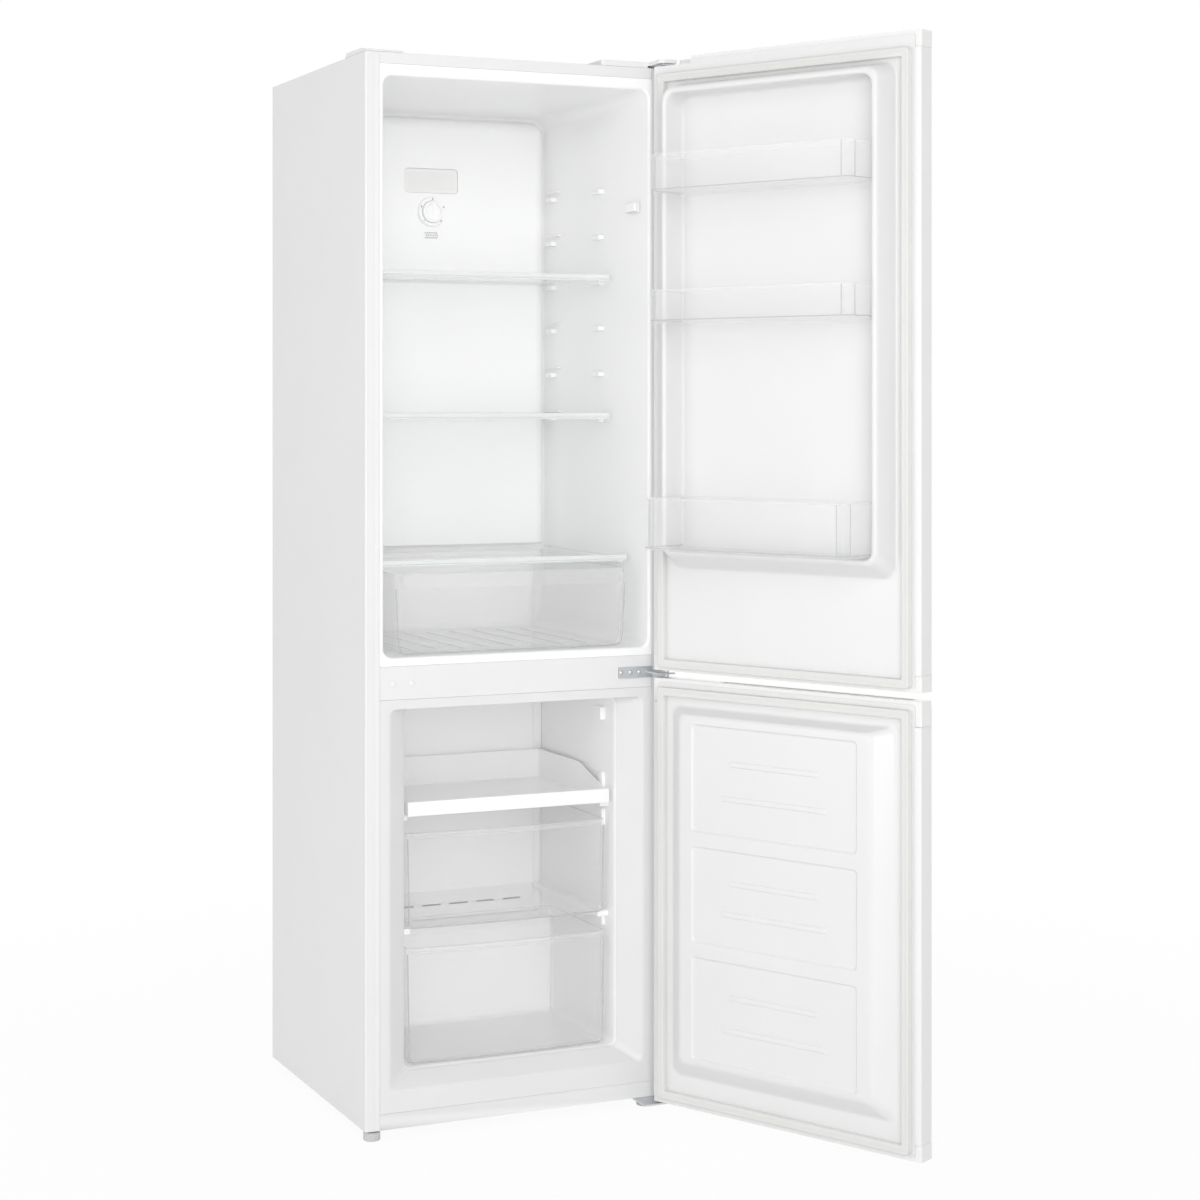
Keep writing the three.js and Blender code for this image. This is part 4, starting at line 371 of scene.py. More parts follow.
def galvanised_sheet():
    # Hot-dip galvanised sheet: dull grey with a soft crystalline spangle.
    return finish(
        "galvanised_steel_sheet", "galvanised", 0.48, 9.0, 0.01, shade=0.86, spread=0.12, metallic=0.9
    )


def black_polypropylene():
    # Moulded black polypropylene: matt and finely grained.
    return finish("moulded_black_polypropylene", "black_plastic", 0.5, 0.9, 0.02, shade=0.8)


def moulded_rubber():
    # Moulded nitrile rubber: very matt, with a faint bloom.
    return finish("moulded_black_rubber", "rubber", 0.8, 1.5, 0.03, shade=0.8)


def black_enamel():
    # Sprayed black enamel over the compressor's pressed shell: semi-gloss with orange peel.
    return finish("sprayed_black_enamel", "black_enamel", 0.38, 2.5, 0.03, shade=0.8)


def drawn_copper():
    # Drawn copper pipe: warm, tarnished in patches, with fine lines along it.
    return finish("drawn_copper_pipe", "copper", 0.32, 2.0, 0.01, shade=0.72, spread=0.12, metallic=1.0)


def mill_aluminium():
    # Mill-finish aluminium fin stock, with its fine rolling lines.
    return finish(
        "mill_finish_aluminium", "aluminium", 0.38, 1.2, 0.01, shade=0.9, metallic=1.0, stretch=(1, 1, 0.1)
    )


SLOT_FINISH = {
    "white_enamel": painted_steel,
    "white_plastic": moulded_abs,
    "liner_plastic": formed_polystyrene,
    "clear_plastic": clear_polystyrene,
    "shelf_glass": float_glass,
    "seal_rubber": soft_pvc,
    "black_rubber": moulded_rubber,
    "grey_plastic": grey_polyamide,
    "black_plastic": black_polypropylene,
    "zinc_steel": zinc_plate,
    "galvanised": galvanised_sheet,
    "aluminium": mill_aluminium,
    "black_enamel": black_enamel,
}

# ---- Form helpers, all in millimetres ----

STEPS = 8  # straight runs in each quarter turn
SHEET = 0.8  # folded steel
SEAT_GAP = 0.3  # between a piece and what it sits on or stands before
WALL = 2.5  # moulded drawers and covers
FLANGE_HALF = 247.2  # the liners' flanges, behind the stiles
CAVITY_HALF, CAVITY_FLOOR, CAVITY_CEILING, CAVITY_DEPTH = 240.5, 793, 1752, 450  # fridge cavity at its mouth
CAVITY_DRAFT = 6  # how far its walls lean in by the back
FREEZER_HALF = 192  # between the freezer's middle and its walls
BAY_CEILING = 232  # of the compressor bay
CAN_RADIUS, CAN_LENGTHENED = 70, 1.25  # the compressor's can, drawn out sideways
DOOR_RIM = -10  # the doors' inner face


def quarter(count=STEPS):
    """(sine, cosine) pairs from 0 to a quarter turn."""
    turns = [i / count * math.pi / 2 for i in range(count + 1)]
    return [(math.sin(t), math.cos(t)) for t in turns]


def ring(half, low, high, radius, y, low_radius=None, middle=0.0):
    """An upright rectangle with rounded corners, in the plane y."""
    foot = radius if low_radius is None else low_radius
    corners = (
        (half - radius, high - radius, radius),
        (radius - half, high - radius, radius),
        (foot - half, low + foot, foot),
        (half - foot, low + foot, foot),
    )
    points = []
    for turn, (x, z, r) in enumerate(corners):
        for step in range(STEPS + 1):
            angle = (turn + step / STEPS) * math.pi / 2
            points.append((middle + x + r * math.cos(angle), y, z + r * math.sin(angle)))
    return points


def plan(half, front, rear, bow, radius, z, rear_radius=2.0):
    """A level outline with a bowed front between rounded corners."""

    def curved(x, y, r, start):
        return [
            (
                x + r * math.cos((start + step / STEPS) * math.pi / 2),
                y + r * math.sin((start + step / STEPS) * math.pi / 2),
                z,
            )
            for step in range(STEPS + 1)
        ]

    reach = half - radius
    bowed = [(reach * (i / 8 - 1), front + bow * (i / 8 - 1) ** 2, z) for i in range(1, 16)]
    return (
        curved(half - rear_radius, rear - rear_radius, rear_radius, 0)
        + curved(rear_radius - half, rear - rear_radius, rear_radius, 1)
        + curved(radius - half, front + bow + radius, radius, 2)
        + bowed
        + curved(half - radius, front + bow + radius, radius, 3)
    )


def loft(form, rings, wrap=False, rim=()):
    """Joins rings of equal point counts. Its ends are capped, or joined to each other by wrap. The strips
    that rim names get the piece's second material."""
    rows = [[form.verts.new(p) for p in points] for points in rings]
    count = len(rows[0])
    pairs = list(zip(rows, rows[1:]))
    if wrap:
        pairs.append((rows[-1], rows[0]))
    for strip, (near, far) in enumerate(pairs):
        for i in range(count):
            j = (i + 1) % count
            face = form.faces.new((near[i], near[j], far[j], far[i]))
            face.material_index = int(strip in rim)
    if not wrap:
        form.faces.new(rows[0])
        form.faces.new(rows[-1])


def prism(form, outline, start, end, axis="Z"):
    """Raises an outline along an axis. Its points are the other two coordinates, in order."""
    at = {
        "X": lambda a, b, c: (c, a, b),
        "Y": lambda a, b, c: (a, c, b),
        "Z": lambda a, b, c: (a, b, c),
    }[axis]
    loft(form, [[at(a, b, height) for a, b in outline] for height in (start, end)])


def block(form, x0, x1, y0, y1, z0, z1, edge=0.0, segments=2):
    """A box with rounded edges."""
    size = Matrix.Diagonal((x1 - x0, y1 - y0, z1 - z0, 1))
    middle = Matrix.Translation(((x0 + x1) / 2, (y0 + y1) / 2, (z0 + z1) / 2))
    made = bmesh.ops.create_cube(form, size=1, matrix=middle @ size)
    if edge:
        edges = dict.fromkeys(e for v in made["verts"] for e in v.link_edges)  # a set would lose the order
        bmesh.ops.bevel(
            form,
            geom=list(edges),
            offset=edge,
            segments=segments,
            profile=0.5,
            affect="EDGES",
            clamp_overlap=True,
        )


def turned(form, profile, middle, axis="Z", sides=48, wrap=False):
    """A lathe form. The profile's points are (radius, place along the axis)."""
    x, y, z = middle
    at = {
        "X": lambda a, b, c: (x + c, y + a, z + b),
        "Y": lambda a, b, c: (x + a, y + c, z + b),
        "Z": lambda a, b, c: (x + a, y + b, z + c),
    }[axis]
    rings = []
    for radius, along in profile:
        r = max(radius, 0.01)
        angles = [i / sides * 2 * math.pi for i in range(sides)]
        rings.append([at(r * math.cos(t), r * math.sin(t), along) for t in angles])
    loft(form, rings, wrap)


def tube(form, path, radius, sides=12):
    """A round bar along a path of points."""
    points = [Vector(p) for p in path]
    across = None
    rings = []
    for i, point in enumerate(points):
        ahead = (points[min(i + 1, len(points) - 1)] - points[max(i - 1, 0)]).normalized()
        if across is None:
            across = ahead.orthogonal().normalized()
        across = (across - ahead * across.dot(ahead)).normalized()
        up = ahead.cross(across)
        angles = [k / sides * 2 * math.pi for k in range(sides)]
        rings.append([tuple(point + (across * math.cos(t) + up * math.sin(t)) * radius) for t in angles])
    loft(form, rings)


def bent(points, radius, steps=6):
    """A path through points with its corners rounded."""
    points = [Vector(p) for p in points]
    path = [points[0]]
    for before, corner, after in zip(points, points[1:], points[2:]):
        start = corner + (before - corner).normalized() * radius
        end = corner + (after - corner).normalized() * radius
        for i in range(steps + 1):
            t = i / steps
            path.append(start * (1 - t) ** 2 + corner * 2 * t * (1 - t) + end * t**2)
    return path + [points[-1]]


def closed_mesh(form, name):
    """Merges doubles, turns every face outwards and makes the mesh."""
    bmesh.ops.remove_doubles(form, verts=form.verts, dist=1e-3)
    bmesh.ops.recalc_face_normals(form, faces=form.faces)
    mesh = bpy.data.meshes.new(name)
    form.to_mesh(mesh)
    form.free()
    return mesh


def evaluated(thing):
    """An object's mesh with its modifiers applied, or a text curve's mesh."""
    bpy.context.view_layer.update()
    return bpy.data.meshes.new_from_object(thing.evaluated_get(bpy.context.evaluated_depsgraph_get()))


def settled(thing):
    """Applies an object's modifiers by making its evaluated mesh its own."""
    if thing.modifiers:
        mesh = evaluated(thing)
        thing.modifiers.clear()
        thing.data = mesh
    return thing


def linked(name, data):
    """A new object in the scene."""
    thing = bpy.data.objects.new(name, data)
    bpy.context.scene.collection.objects.link(thing)
    return thing


def object_of(form, name):
    """An object that holds a form's mesh."""
    return linked(name, closed_mesh(form, name))


def carved(thing, form):
    """Cuts a form out of an object's mesh."""
    tool = object_of(form, thing.name + "_tool")
    cutting = thing.modifiers.new("carve", "BOOLEAN")
    cutting.object = tool
    cutting.operation = "DIFFERENCE"
    cutting.solver = "EXACT"
    settled(thing)
    bpy.data.objects.remove(tool)


def piece(
    name, form, body, nodes=(), slot=None, surface=None, edge=0.0, carve=None, crease=35, edge_surface=None
):
    """Makes a finished piece of a form: carved by another form, its edges rounded, shaded, given its
    material, set in place, and put on its body in place of its CAD nodes. edge_surface is the material of
    the faces that the form marks with a material index of 1."""
    thing = object_of(form, name)
    if carve:
        carved(thing, carve)
    thing.data.shade_smooth()
    thing.data.set_sharp_from_angle(angle=math.radians(crease))
    if edge:
        rounding = thing.modifiers.new("edge", "BEVEL")
        rounding.width = edge
        rounding.segments = 3
        rounding.limit_method = "ANGLE"
        rounding.angle_limit = math.radians(crease)
        settled(thing)
        thing.data.shade_smooth()
        thing.data.set_sharp_from_angle(angle=math.radians(60))
    weighted = thing.modifiers.new("shading", "WEIGHTED_NORMAL")
    weighted.keep_sharp = True
    settled(thing)
    thing.data.transform(place_of(body))
    thing.data.name = name
    thing.data.materials.append(surface or SLOT_FINISH[slot]())
    if edge_surface:
        thing.data.materials.append(edge_surface)
    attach(thing, body)
    if nodes:
        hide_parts(*nodes)
    return thing


def merged_copy(node):
    """A node's shape in millimetres, its loose triangles merged and its flat faces made whole."""
    source = frame["nodes"][node]
    form = bmesh.new()
    form.from_mesh(source.data)
    form.transform(place_of(source["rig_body"]).inverted())
    bmesh.ops.remove_doubles(form, verts=form.verts, dist=2e-3)
    bmesh.ops.dissolve_limit(form, angle_limit=math.radians(0.5), verts=form.verts, edges=form.edges)
    return form


SUBPARTS = {part["node"]: part["material_slot"] for part in frame["record"]["subparts"]}


def rounded_node(node, edge, name=None, surface=None, crease=35):
    """Stands a CAD node's own shape again with its edges rounded."""
    body = frame["nodes"][node]["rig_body"]
    made = name or node + "_finished"
    return piece(made, merged_copy(node), body, (node,), SUBPARTS[node], surface, edge, crease=crease)


# ---- Geometry Nodes: whatever repeats ----


def repeat_tree():
    """A level grid of copies of one part, with named inputs for its counts, pitches and stagger."""
    name = "repeat_on_grid"
    tree = bpy.data.node_groups.get(name)
    if tree:
        return tree
    tree = bpy.data.node_groups.new(name, "GeometryNodeTree")
    sockets = (
        ("Part", "NodeSocketObject", None),
        ("Count Across", "NodeSocketInt", 1),
        ("Count Up", "NodeSocketInt", 1),
        ("Pitch Across", "NodeSocketFloat", 1.0),
        ("Pitch Up", "NodeSocketFloat", 1.0),
        ("Stagger", "NodeSocketFloat", 0.0),
        ("Material", "NodeSocketMaterial", None),
    )
    for label, kind, value in sockets:
        socket = tree.interface.new_socket(label, in_out="INPUT", socket_type=kind)
        if value is not None:
            socket.default_value = value
    tree.interface.new_socket("Geometry", in_out="OUTPUT", socket_type="NodeSocketGeometry")
    given = add(tree, "NodeGroupInput").outputs
    spans = []
    for count, pitch in (("Count Across", "Pitch Across"), ("Count Up", "Pitch Up")):
        runs = add(tree, "ShaderNodeMath", {"operation": "SUBTRACT", 1: 1.0}, {0: given[count]})
        span = add(tree, "ShaderNodeMath", {"operation": "MULTIPLY"}, {0: runs.outputs[0], 1: given[pitch]})
        spans.append(span.outputs[0])
    grid = add(
        tree,
        "GeometryNodeMeshGrid",
        links={
            "Size X": spans[0],
            "Size Y": spans[1],
            "Vertices X": given["Count Across"],
            "Vertices Y": given["Count Up"],
        },
    )
    index = add(tree, "GeometryNodeInputIndex")
    row = add(tree, "ShaderNodeMath", {"operation": "MODULO"}, {0: index.outputs[0], 1: given["Count Up"]})
    odd = add(tree, "ShaderNodeMath", {"operation": "MODULO", 1: 2.0}, {0: row.outputs[0]})
    shift = add(tree, "ShaderNodeMath", {"operation": "MULTIPLY"}, {0: odd.outputs[0], 1: given["Stagger"]})
    offset = add(tree, "ShaderNodeCombineXYZ", links={"X": shift.outputs[0]})
    moved = add(
        tree, "GeometryNodeSetPosition", links={"Geometry": grid.outputs["Mesh"], "Offset": offset.outputs[0]}
    )
    part = add(tree, "GeometryNodeObjectInfo", links={"Object": given["Part"]})
    copies = add(
        tree,
        "GeometryNodeInstanceOnPoints",
        links={"Points": moved.outputs[0], "Instance": part.outputs["Geometry"]},
    )
    real = add(tree, "GeometryNodeRealizeInstances", links={"Geometry": copies.outputs[0]})
    painted = add(
        tree,
        "GeometryNodeSetMaterial",
        links={"Geometry": real.outputs[0], "Material": given["Material"]},
    )
    add(tree, "NodeGroupOutput", links={"Geometry": painted.outputs[0]})
    return tree


def repeated(form, part, counts, pitches, place=Matrix(), stagger=0.0, surface=None):
    """Adds to a form a grid of one part, which the tree above lays out in the XY plane; place then turns it
    and moves it. The part's own form is used up."""
    mother = object_of(part, "repeat_part")
    host = object_of(bmesh.new(), "repeat_host")
    tree = repeat_tree()
    lay = host.modifiers.new("repeat", "NODES")
    lay.node_group = tree
    given = {
        "Part": mother,
        "Count Across": counts[0],
        "Count Up": counts[1],
        "Pitch Across": pitches[0],
        "Pitch Up": pitches[1],
        "Stagger": stagger,
        "Material": surface or zinc_plate(),
    }
    for item in tree.interface.items_tree:
        if item.item_type == "SOCKET" and item.in_out == "INPUT":
            lay[item.identifier] = given[item.name]
    settled(host)
    host.data.transform(place)
    form.from_mesh(host.data)
    for thing in (host, mother):
        bpy.data.objects.remove(thing)


def screw_form(radius):
    """A pan-head screw with a cross recess, head up, its seat at the origin."""
    sunk, wall, dome = 0.4, 0.5, radius * 0.42
    form = bmesh.new()
    head = [(radius, -sunk), (radius, wall)]
    head += [(radius * c, wall + dome * s) for s, c in quarter(4)[1:-1]]
    turned(form, [(0, -sunk)] + head + [(0, wall + dome)], (0, 0, 0), sides=20)
    arm, width = radius * 0.55, radius * 0.14
    top = wall + dome + 0.05
    for x, y in ((arm, width), (width, arm)):
        block(form, -x, x, -y, y, top - 0.25, top)
    return form


FACING_FRONT = Matrix.Rotation(math.radians(90), 4, "X")  # grid upright, its parts facing -Y
FACING_BACK = Matrix.Rotation(math.radians(180), 4, "Z") @ FACING_FRONT


def screws(name, body, places, facing, radius, slot="zinc_steel"):
    """One piece of screws on a body. Each place is (middle, counts, pitches)."""
    form = bmesh.new()
    for middle, counts, pitches in places:
        repeated(form, screw_form(radius), counts, pitches, Matrix.Translation(middle) @ facing)
    return piece(name, form, body, slot=slot)


# ---- Cabinet ----


def stile_outline(side, span, options):
    """A side panel's plan, folded round the front with a rounded fold and a pressed line down its stile."""
    sheet, rear_fold = SHEET, 12
    half = max(abs(span.x0), abs(span.x1))
    stile = half - min(abs(span.x0), abs(span.x1))
    fold = options["fold"]
    groove = half - options["stile_groove"]
    wide = options["groove_width"] / 2
    press = sheet * 0.6
    rear = span.y1
    outer = [(half, rear)]
    outer += [(half - fold * (1 - c), fold * (1 - s)) for s, c in quarter(6)]
    outer += [(groove + wide, 0), (groove + wide / 2, press), (groove - wide / 2, press), (groove - wide, 0)]
    outer += [(half - stile, 0)]
    inner = [(half - stile, sheet)]
    inner += [(groove - wide, sheet), (groove - wide / 2, sheet + press)]
    inner += [(groove + wide / 2, sheet + press), (groove + wide, sheet)]
    inner += [(half - fold + (fold - sheet) * s, fold - (fold - sheet) * c) for s, c in quarter(6)]
    inner += [(half - sheet, rear - sheet), (half - rear_fold, rear - sheet), (half - rear_fold, rear)]
    return [(side * x, y) for x, y in outer + inner]


class FRIDGE_OT_shell(bpy.types.Operator):
    """Folded steel side panels, top panel, mullion rail and base of the cabinet"""

    bl_idname = "fridge.shell"
    bl_label = "Cabinet shell"

    def execute(self, context):
        options = sizes("fridge_shell")
        for name, side in (("side_panel_left", -1), ("side_panel_right", 1)):
            span = Span(name)
            form = bmesh.new()
            prism(form, stile_outline(side, span, options), span.z0, span.z1)
            piece(name + "_folded", form, "cabinet", (name,), "white_enamel")
        for name in ("top_panel", "bottom_plate", "mullion_rail", "bay_panel", "compressor_base"):
            rounded_node(name, 0.35)
        plug_form = bmesh.new()
        plugs = [Span(f"mullion_plug_{i}") for i in (1, 2)]
        for span in plugs:
            radius = span.x1 - span.mid_x
            edge = span.y1 - 0.5
            dome = [(0, span.y1), (radius, span.y1), (radius, edge)]
            dome += [(radius * c, edge - s) for s, c in quarter(5)]
            turned(plug_form, dome, (span.mid_x, 0, span.mid_z), "Y")
        piece("mullion_plugs", plug_form, "cabinet", ("mullion_plug_1", "mullion_plug_2"), "white_plastic")
        return {"FINISHED"}


class FRIDGE_OT_back(bpy.types.Operator):
    """Pressed rear panel with its screws"""

    bl_idname = "fridge.back"
    bl_label = "Rear panel"

    def execute(self, context):
        options = sizes("fridge_shell")
        span = Span("rear_panel")
        depth = options["rear_press"]
        half = span.x1
        rim = 26
        sheet = span.y1 - span.y0
        shape = [(0, 0), (rim, 0), (rim + 2 * depth, -depth)]

        def pressed(inset, y):
            return ring(half - inset, span.z0 + inset, span.z1 - inset, 1 + inset * 0.6, y)

        outer = [pressed(inset, span.y1 + drop) for inset, drop in shape]
        inner = [pressed(inset, span.y1 - sheet + drop) for inset, drop in shape]
        form = bmesh.new()
        loft(form, outer[::-1] + inner)
        rib = bmesh.new()
        centre, reach = span.mid_z, (span.z1 - span.z0) / 2 - 90
        block(rib, -2, 2, -1.6, 1.6, -reach, reach, 1.2)
        rib_count, rib_pitch = 5, 88
        place = Matrix.Translation((0, span.y1 - depth, centre))
        repeated(form, rib, (rib_count, 1), (rib_pitch, 1), place)
        piece("rear_panel_pressed", form, "cabinet", ("rear_panel",), "galvanised", crease=25)
        pitch = options["screw_pitch"]
        count = int((span.z1 - span.z0 - 60) // pitch) + 1
        seat, margin = span.y1 - 0.45, 13
        places = [((x, seat, centre), (1, count), (1, pitch)) for x in (margin - half, half - margin)]
        places += [((0, seat, z), (3, 1), (pitch, 1)) for z in (span.z0 + margin, span.z1 - margin)]
        screws("rear_panel_screws", "cabinet", places, FACING_BACK, 2.2)
        return {"FINISHED"}


class FRIDGE_OT_top_caps(bpy.types.Operator):
    """Moulded covers on the cabinet's top corners"""

    bl_idname = "fridge.top_caps"
    bl_label = "Top corner covers"

    def execute(self, context):
        rounded_node("top_cap_left", 1.6)
        rounded_node("hinge_cover", 1.6)
        return {"FINISHED"}


# ---- Fridge compartment ----


def liner_ring(y, grow=0.0):
    """The fridge cavity's outline at a depth, drafted towards its rounded back."""
    share = min(max(y / CAVITY_DEPTH, 0), 1)
    draft = CAVITY_DRAFT * share
    radius = 16 + 12 * share + grow
    low, high = CAVITY_FLOOR - grow, CAVITY_CEILING - draft + grow
    return ring(CAVITY_HALF - draft + grow, low, high, radius, y)


class FRIDGE_OT_fridge_liner(bpy.types.Operator):
    """Formed fridge liner with its moulded shelf supports"""

    bl_idname = "fridge.fridge_liner"
    bl_label = "Fridge liner"

    def execute(self, context):
        options = sizes("fridge_inside")
        back, fillet, lip = CAVITY_DEPTH, options["rear_fillet"], options["lip"]
        flange_foot, flange_top, wall = 779.3, 1771.2, 2
        rings = [liner_ring(back - fillet * (1 - c), -fillet * (1 - s)) for s, c in quarter()]
        rings += [liner_ring(y) for y in (330, 220, 110, 30)]
        rings += [liner_ring(lip * (1 - s), lip * (1 - c)) for s, c in quarter()]
        rings += [ring(FLANGE_HALF, flange_foot, flange_top, 1.5, y) for y in (0, wall)]
        rings += [liner_ring(y, wall) for y in (wall, 200, back + wall)]
        form = bmesh.new()
        loft(form, rings)
        self.supports(form, options["boss_round"])
        piece("fridge_liner_formed", form, "cabinet", ("fridge_liner",), "liner_plastic", crease=50)
        return {"FINISHED"}

    def supports(self, form, edge):
        """Six levels of studs, with rails that hold a shelf's rear down, and the crisper cover's ledges."""
        first = Span("lower_shelf_glass").z0
        pitch = (Span("upper_shelf_glass").z0 - first) / 3
        rear = Span("upper_shelf_glass").y1
        reach, tall = 11, 9

        def pair(place, run, reach, low, high, soft):
            half = CAVITY_HALF - CAVITY_DRAFT * place / CAVITY_DEPTH
            for side in (-1, 1):
                a, b = sorted((side * (half - reach), side * (half + 1.5)))
                block(form, a, b, place, place + run, low, high, soft)

        for level in range(6):
            seat = first + pitch * level - SEAT_GAP
            pair(178, 30, reach, seat - tall, seat, edge)
            pair(rear - 33, 28, reach, seat - tall, seat, edge)
            pair(rear - 54, 54, 6, seat + 8.3, seat + 11.3, 1.2)
        ledge = Span("crisper_cover_glass").z0 - SEAT_GAP
        pair(100, 350, reach, ledge - tall, ledge, edge)


def rolled_cover(form, span, edge, wall, foot_roll=0.0):
    """A moulded cover, open behind, whose front rolls over into its walls; foot_roll is how much of that
    its foot shares."""
    outside, inside = [], []
    for skin, inset in ((outside, 0), (inside, wall)):
        radius = edge - inset
        for s, c in quarter():
            roll = radius * (1 - s)
            high, low = span.z1 - inset - roll, span.z0 + inset + roll * foot_roll
            y = span.y0 + inset + radius * (1 - c)
            skin.append(ring(span.x1 - inset - roll, low, high, radius, y, 1.0))
        skin.append(ring(span.x1 - inset, span.z0 + inset, span.z1 - inset, radius, span.y1, 1.0))
    loft(form, outside + inside[::-1])


class FRIDGE_OT_duct(bpy.types.Operator):
    """Air-duct cover with the lamp, the thermostat dial and the perforated air outlet"""

    bl_idname = "fridge.duct"
    bl_label = "Duct cover, lamp and dial"

    def execute(self, context):
        options = sizes("fridge_inside")
        span = Span("duct_cover")
        lens = Span("lamp_lens")
        dial = Span("thermostat_dial")
        front, play = span.y0, 0.4
        form = bmesh.new()
        rolled_cover(form, span, 24, WALL)
        tools = bmesh.new()
        ends = (front - 3, front + WALL + 3)
        loft(tools, [ring(lens.x1 + play, lens.z0 - play, lens.z1 + play, 7, y) for y in ends])
        hole = bmesh.new()
        turned(hole, [(options["grille_hole"], -3), (options["grille_hole"], 6)], (0, 0, 0), sides=10)
        grille_height = dial.mid_z - 43
        pitch = options["grille_pitch"]
        place = Matrix.Translation((-pitch / 4, front, grille_height)) @ FACING_FRONT
        repeated(tools, hole, (6, 3), (pitch, pitch), place, stagger=pitch / 2)
        piece("duct_cover_formed", form, "cabinet", ("duct_cover",), "liner_plastic", carve=tools, crease=50)
        self.lamp(lens)
        self.dial(dial)
        rounded_node("thermostat_box", 0.6)
        return {"FINISHED"}

    def lamp(self, lens):
        """The lens, with ribs across its face."""
        form = bmesh.new()
        shape = [(0.8, lens.y0), (0, lens.y0 + 0.8), (0, lens.y1)]
        loft(form, [ring(lens.x1 - a, lens.z0 + a, lens.z1 - a, 6.6 - a, y) for a, y in shape])
        ribs = bmesh.new()
        block(ribs, -(lens.x1 - 8), lens.x1 - 8, -0.8, 0.3, -0.6, 0.6, 0.4)
        place = Matrix.Translation((0, lens.y0, lens.mid_z)) @ FACING_FRONT
        upright = Matrix.Rotation(math.radians(-90), 4, "X")
        bmesh.ops.transform(ribs, matrix=upright, verts=ribs.verts)
        repeated(form, ribs, (1, 9), (1, 3.6), place)
        piece("lamp_lens_ribbed", form, "cabinet", ("lamp_lens",), "clear_plastic", opal_polystyrene())

    def dial(self, span):
        """A bezel round a dished knob with a finger bar, and a ring of setting numbers."""
        z = span.mid_z
        radius = (span.z1 - span.z0) / 2
        front, back = span.y0, Span("duct_cover").y0 - SEAT_GAP
        depth = back - front
        shoulder, groove, roll = back - depth * 0.35, back - depth * 0.2, 1.5
        form = bmesh.new()
        skirt = [(0, back), (radius, back), (radius, shoulder)]
        skirt += [(radius - roll * (1 - c), shoulder - roll * s) for s, c in quarter(4)]
        knob = radius - 7
        skirt += [(knob + 0.8, shoulder - roll), (knob + 0.4, groove), (knob, groove), (knob, front + 2)]
        skirt += [(knob - 2 * (1 - c), front + 2 - 2 * s) for s, c in quarter(4)]
        skirt += [(knob - 5, front), (knob - 7, front + 3), (0, front + 4)]
        turned(form, skirt, (0, 0, z), "Y", 64)
        block(form, -3.2, 3.2, front + 0.5, back, z - knob + 3, z + knob - 3, 1.2)
        turned(form, [(0, back - 1), (6, back - 1), (6, span.y1), (0, span.y1)], (0, 0, z), "Y", 32)
        nodes, surface = ("thermostat_dial",), moulded_polystyrene()
        piece("thermostat_dial_turned", form, "thermostat_dial", nodes, "white_plastic", surface)
        marks = bmesh.new()
        for number in range(1, 6):
            angle = math.radians(225 - (number - 1) * 67.5)
            letter = bpy.data.curves.new("mark", "FONT")
            letter.body = str(number)
            letter.size = 5.5
            letter.align_x = "CENTER"
            letter.align_y = "CENTER"
            letter.extrude = 0.25
            host = linked("mark", letter)
            mesh = evaluated(host)
            bpy.data.objects.remove(host)
            x, height = math.cos(angle) * (radius - 3.5), math.sin(angle) * (radius - 3.5)
            at = Matrix.Translation((x, shoulder - roll - 0.1, z + height)) @ FACING_FRONT
            mesh.transform(at)
            marks.from_mesh(mesh)
        piece("dial_numbers", marks, "thermostat_dial", surface=black_polypropylene())


class FRIDGE_OT_door_switch(bpy.types.Operator):
    """Door switch housing and its button"""

    bl_idname = "fridge.door_switch"
    bl_label = "Door switch"

    def execute(self, context):
        rounded_node("switch_housing", 0.8)
        # The button's whiter polystyrene is painted light: it makes up for the shade on its side-facing
        # front.
        rounded_node("switch_button", 1.2, surface=moulded_polystyrene())
        return {"FINISHED"}


class FRIDGE_OT_shelves(bpy.types.Operator):
    """Glass shelves and the crisper's glass cover, with their trims"""

    bl_idname = "fridge.shelves"
    bl_label = "Shelves"

    def execute(self, context):
        for name in ("upper_shelf", "lower_shelf", "crisper_cover"):
            rounded_node(name + "_glass", 0.7)
            self.front_trim(name)
        for name in ("upper_shelf", "lower_shelf"):
            self.rear_trim(name)
        return {"FINISHED"}

    def front_trim(self, name):
        """A moulded bar with a deep upper bead, a groove and a thin lower bead, slotted for the glass."""
        node = name + "_trim"
        trim, glass = Span(node), Span(name + "_glass")
        front, rear, low, high = trim.y0, trim.y1, trim.z0, trim.z1
        groove, gap = low + 3.2, SEAT_GAP
        nose = [(1.4, high), (0.4, high - 0.4), (0, high - 1.4), (0, groove + 0.9), (2, groove)]
        nose += [(0, groove - 0.9), (0, low + 0.9), (0.9, low)]
        slot = [(rear, glass.z0 - gap), (glass.y0 - gap, glass.z0 - gap)]
        slot += [(glass.y0 - gap, glass.z1 + gap), (rear, glass.z1 + gap)]
        outline = [(front + y, z) for y, z in nose] + [(rear, low), *slot, (rear, high)]
        form = bmesh.new()
        prism(form, outline, trim.x0, trim.x1, "X")
        body = frame["nodes"][node]["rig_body"]
        piece(node + "_moulded", form, body, (node,), SUBPARTS[node], polystyrene_trim(), edge=0.3)

    def rear_trim(self, name):
        """A bar along the rear edge that keeps what stands on the shelf off the back."""
        glass = Span(name + "_glass")
        form = bmesh.new()
        block(form, glass.x0, glass.x1, glass.y1 - 9, glass.y1 + 0.6, glass.z1 - 0.2, glass.z1 + 2.2, 0.8)
        piece(name + "_rear_trim", form, name, slot="clear_plastic", surface=polystyrene_trim())


# ---- Tubs: crisper, freezer drawers, door bins ----


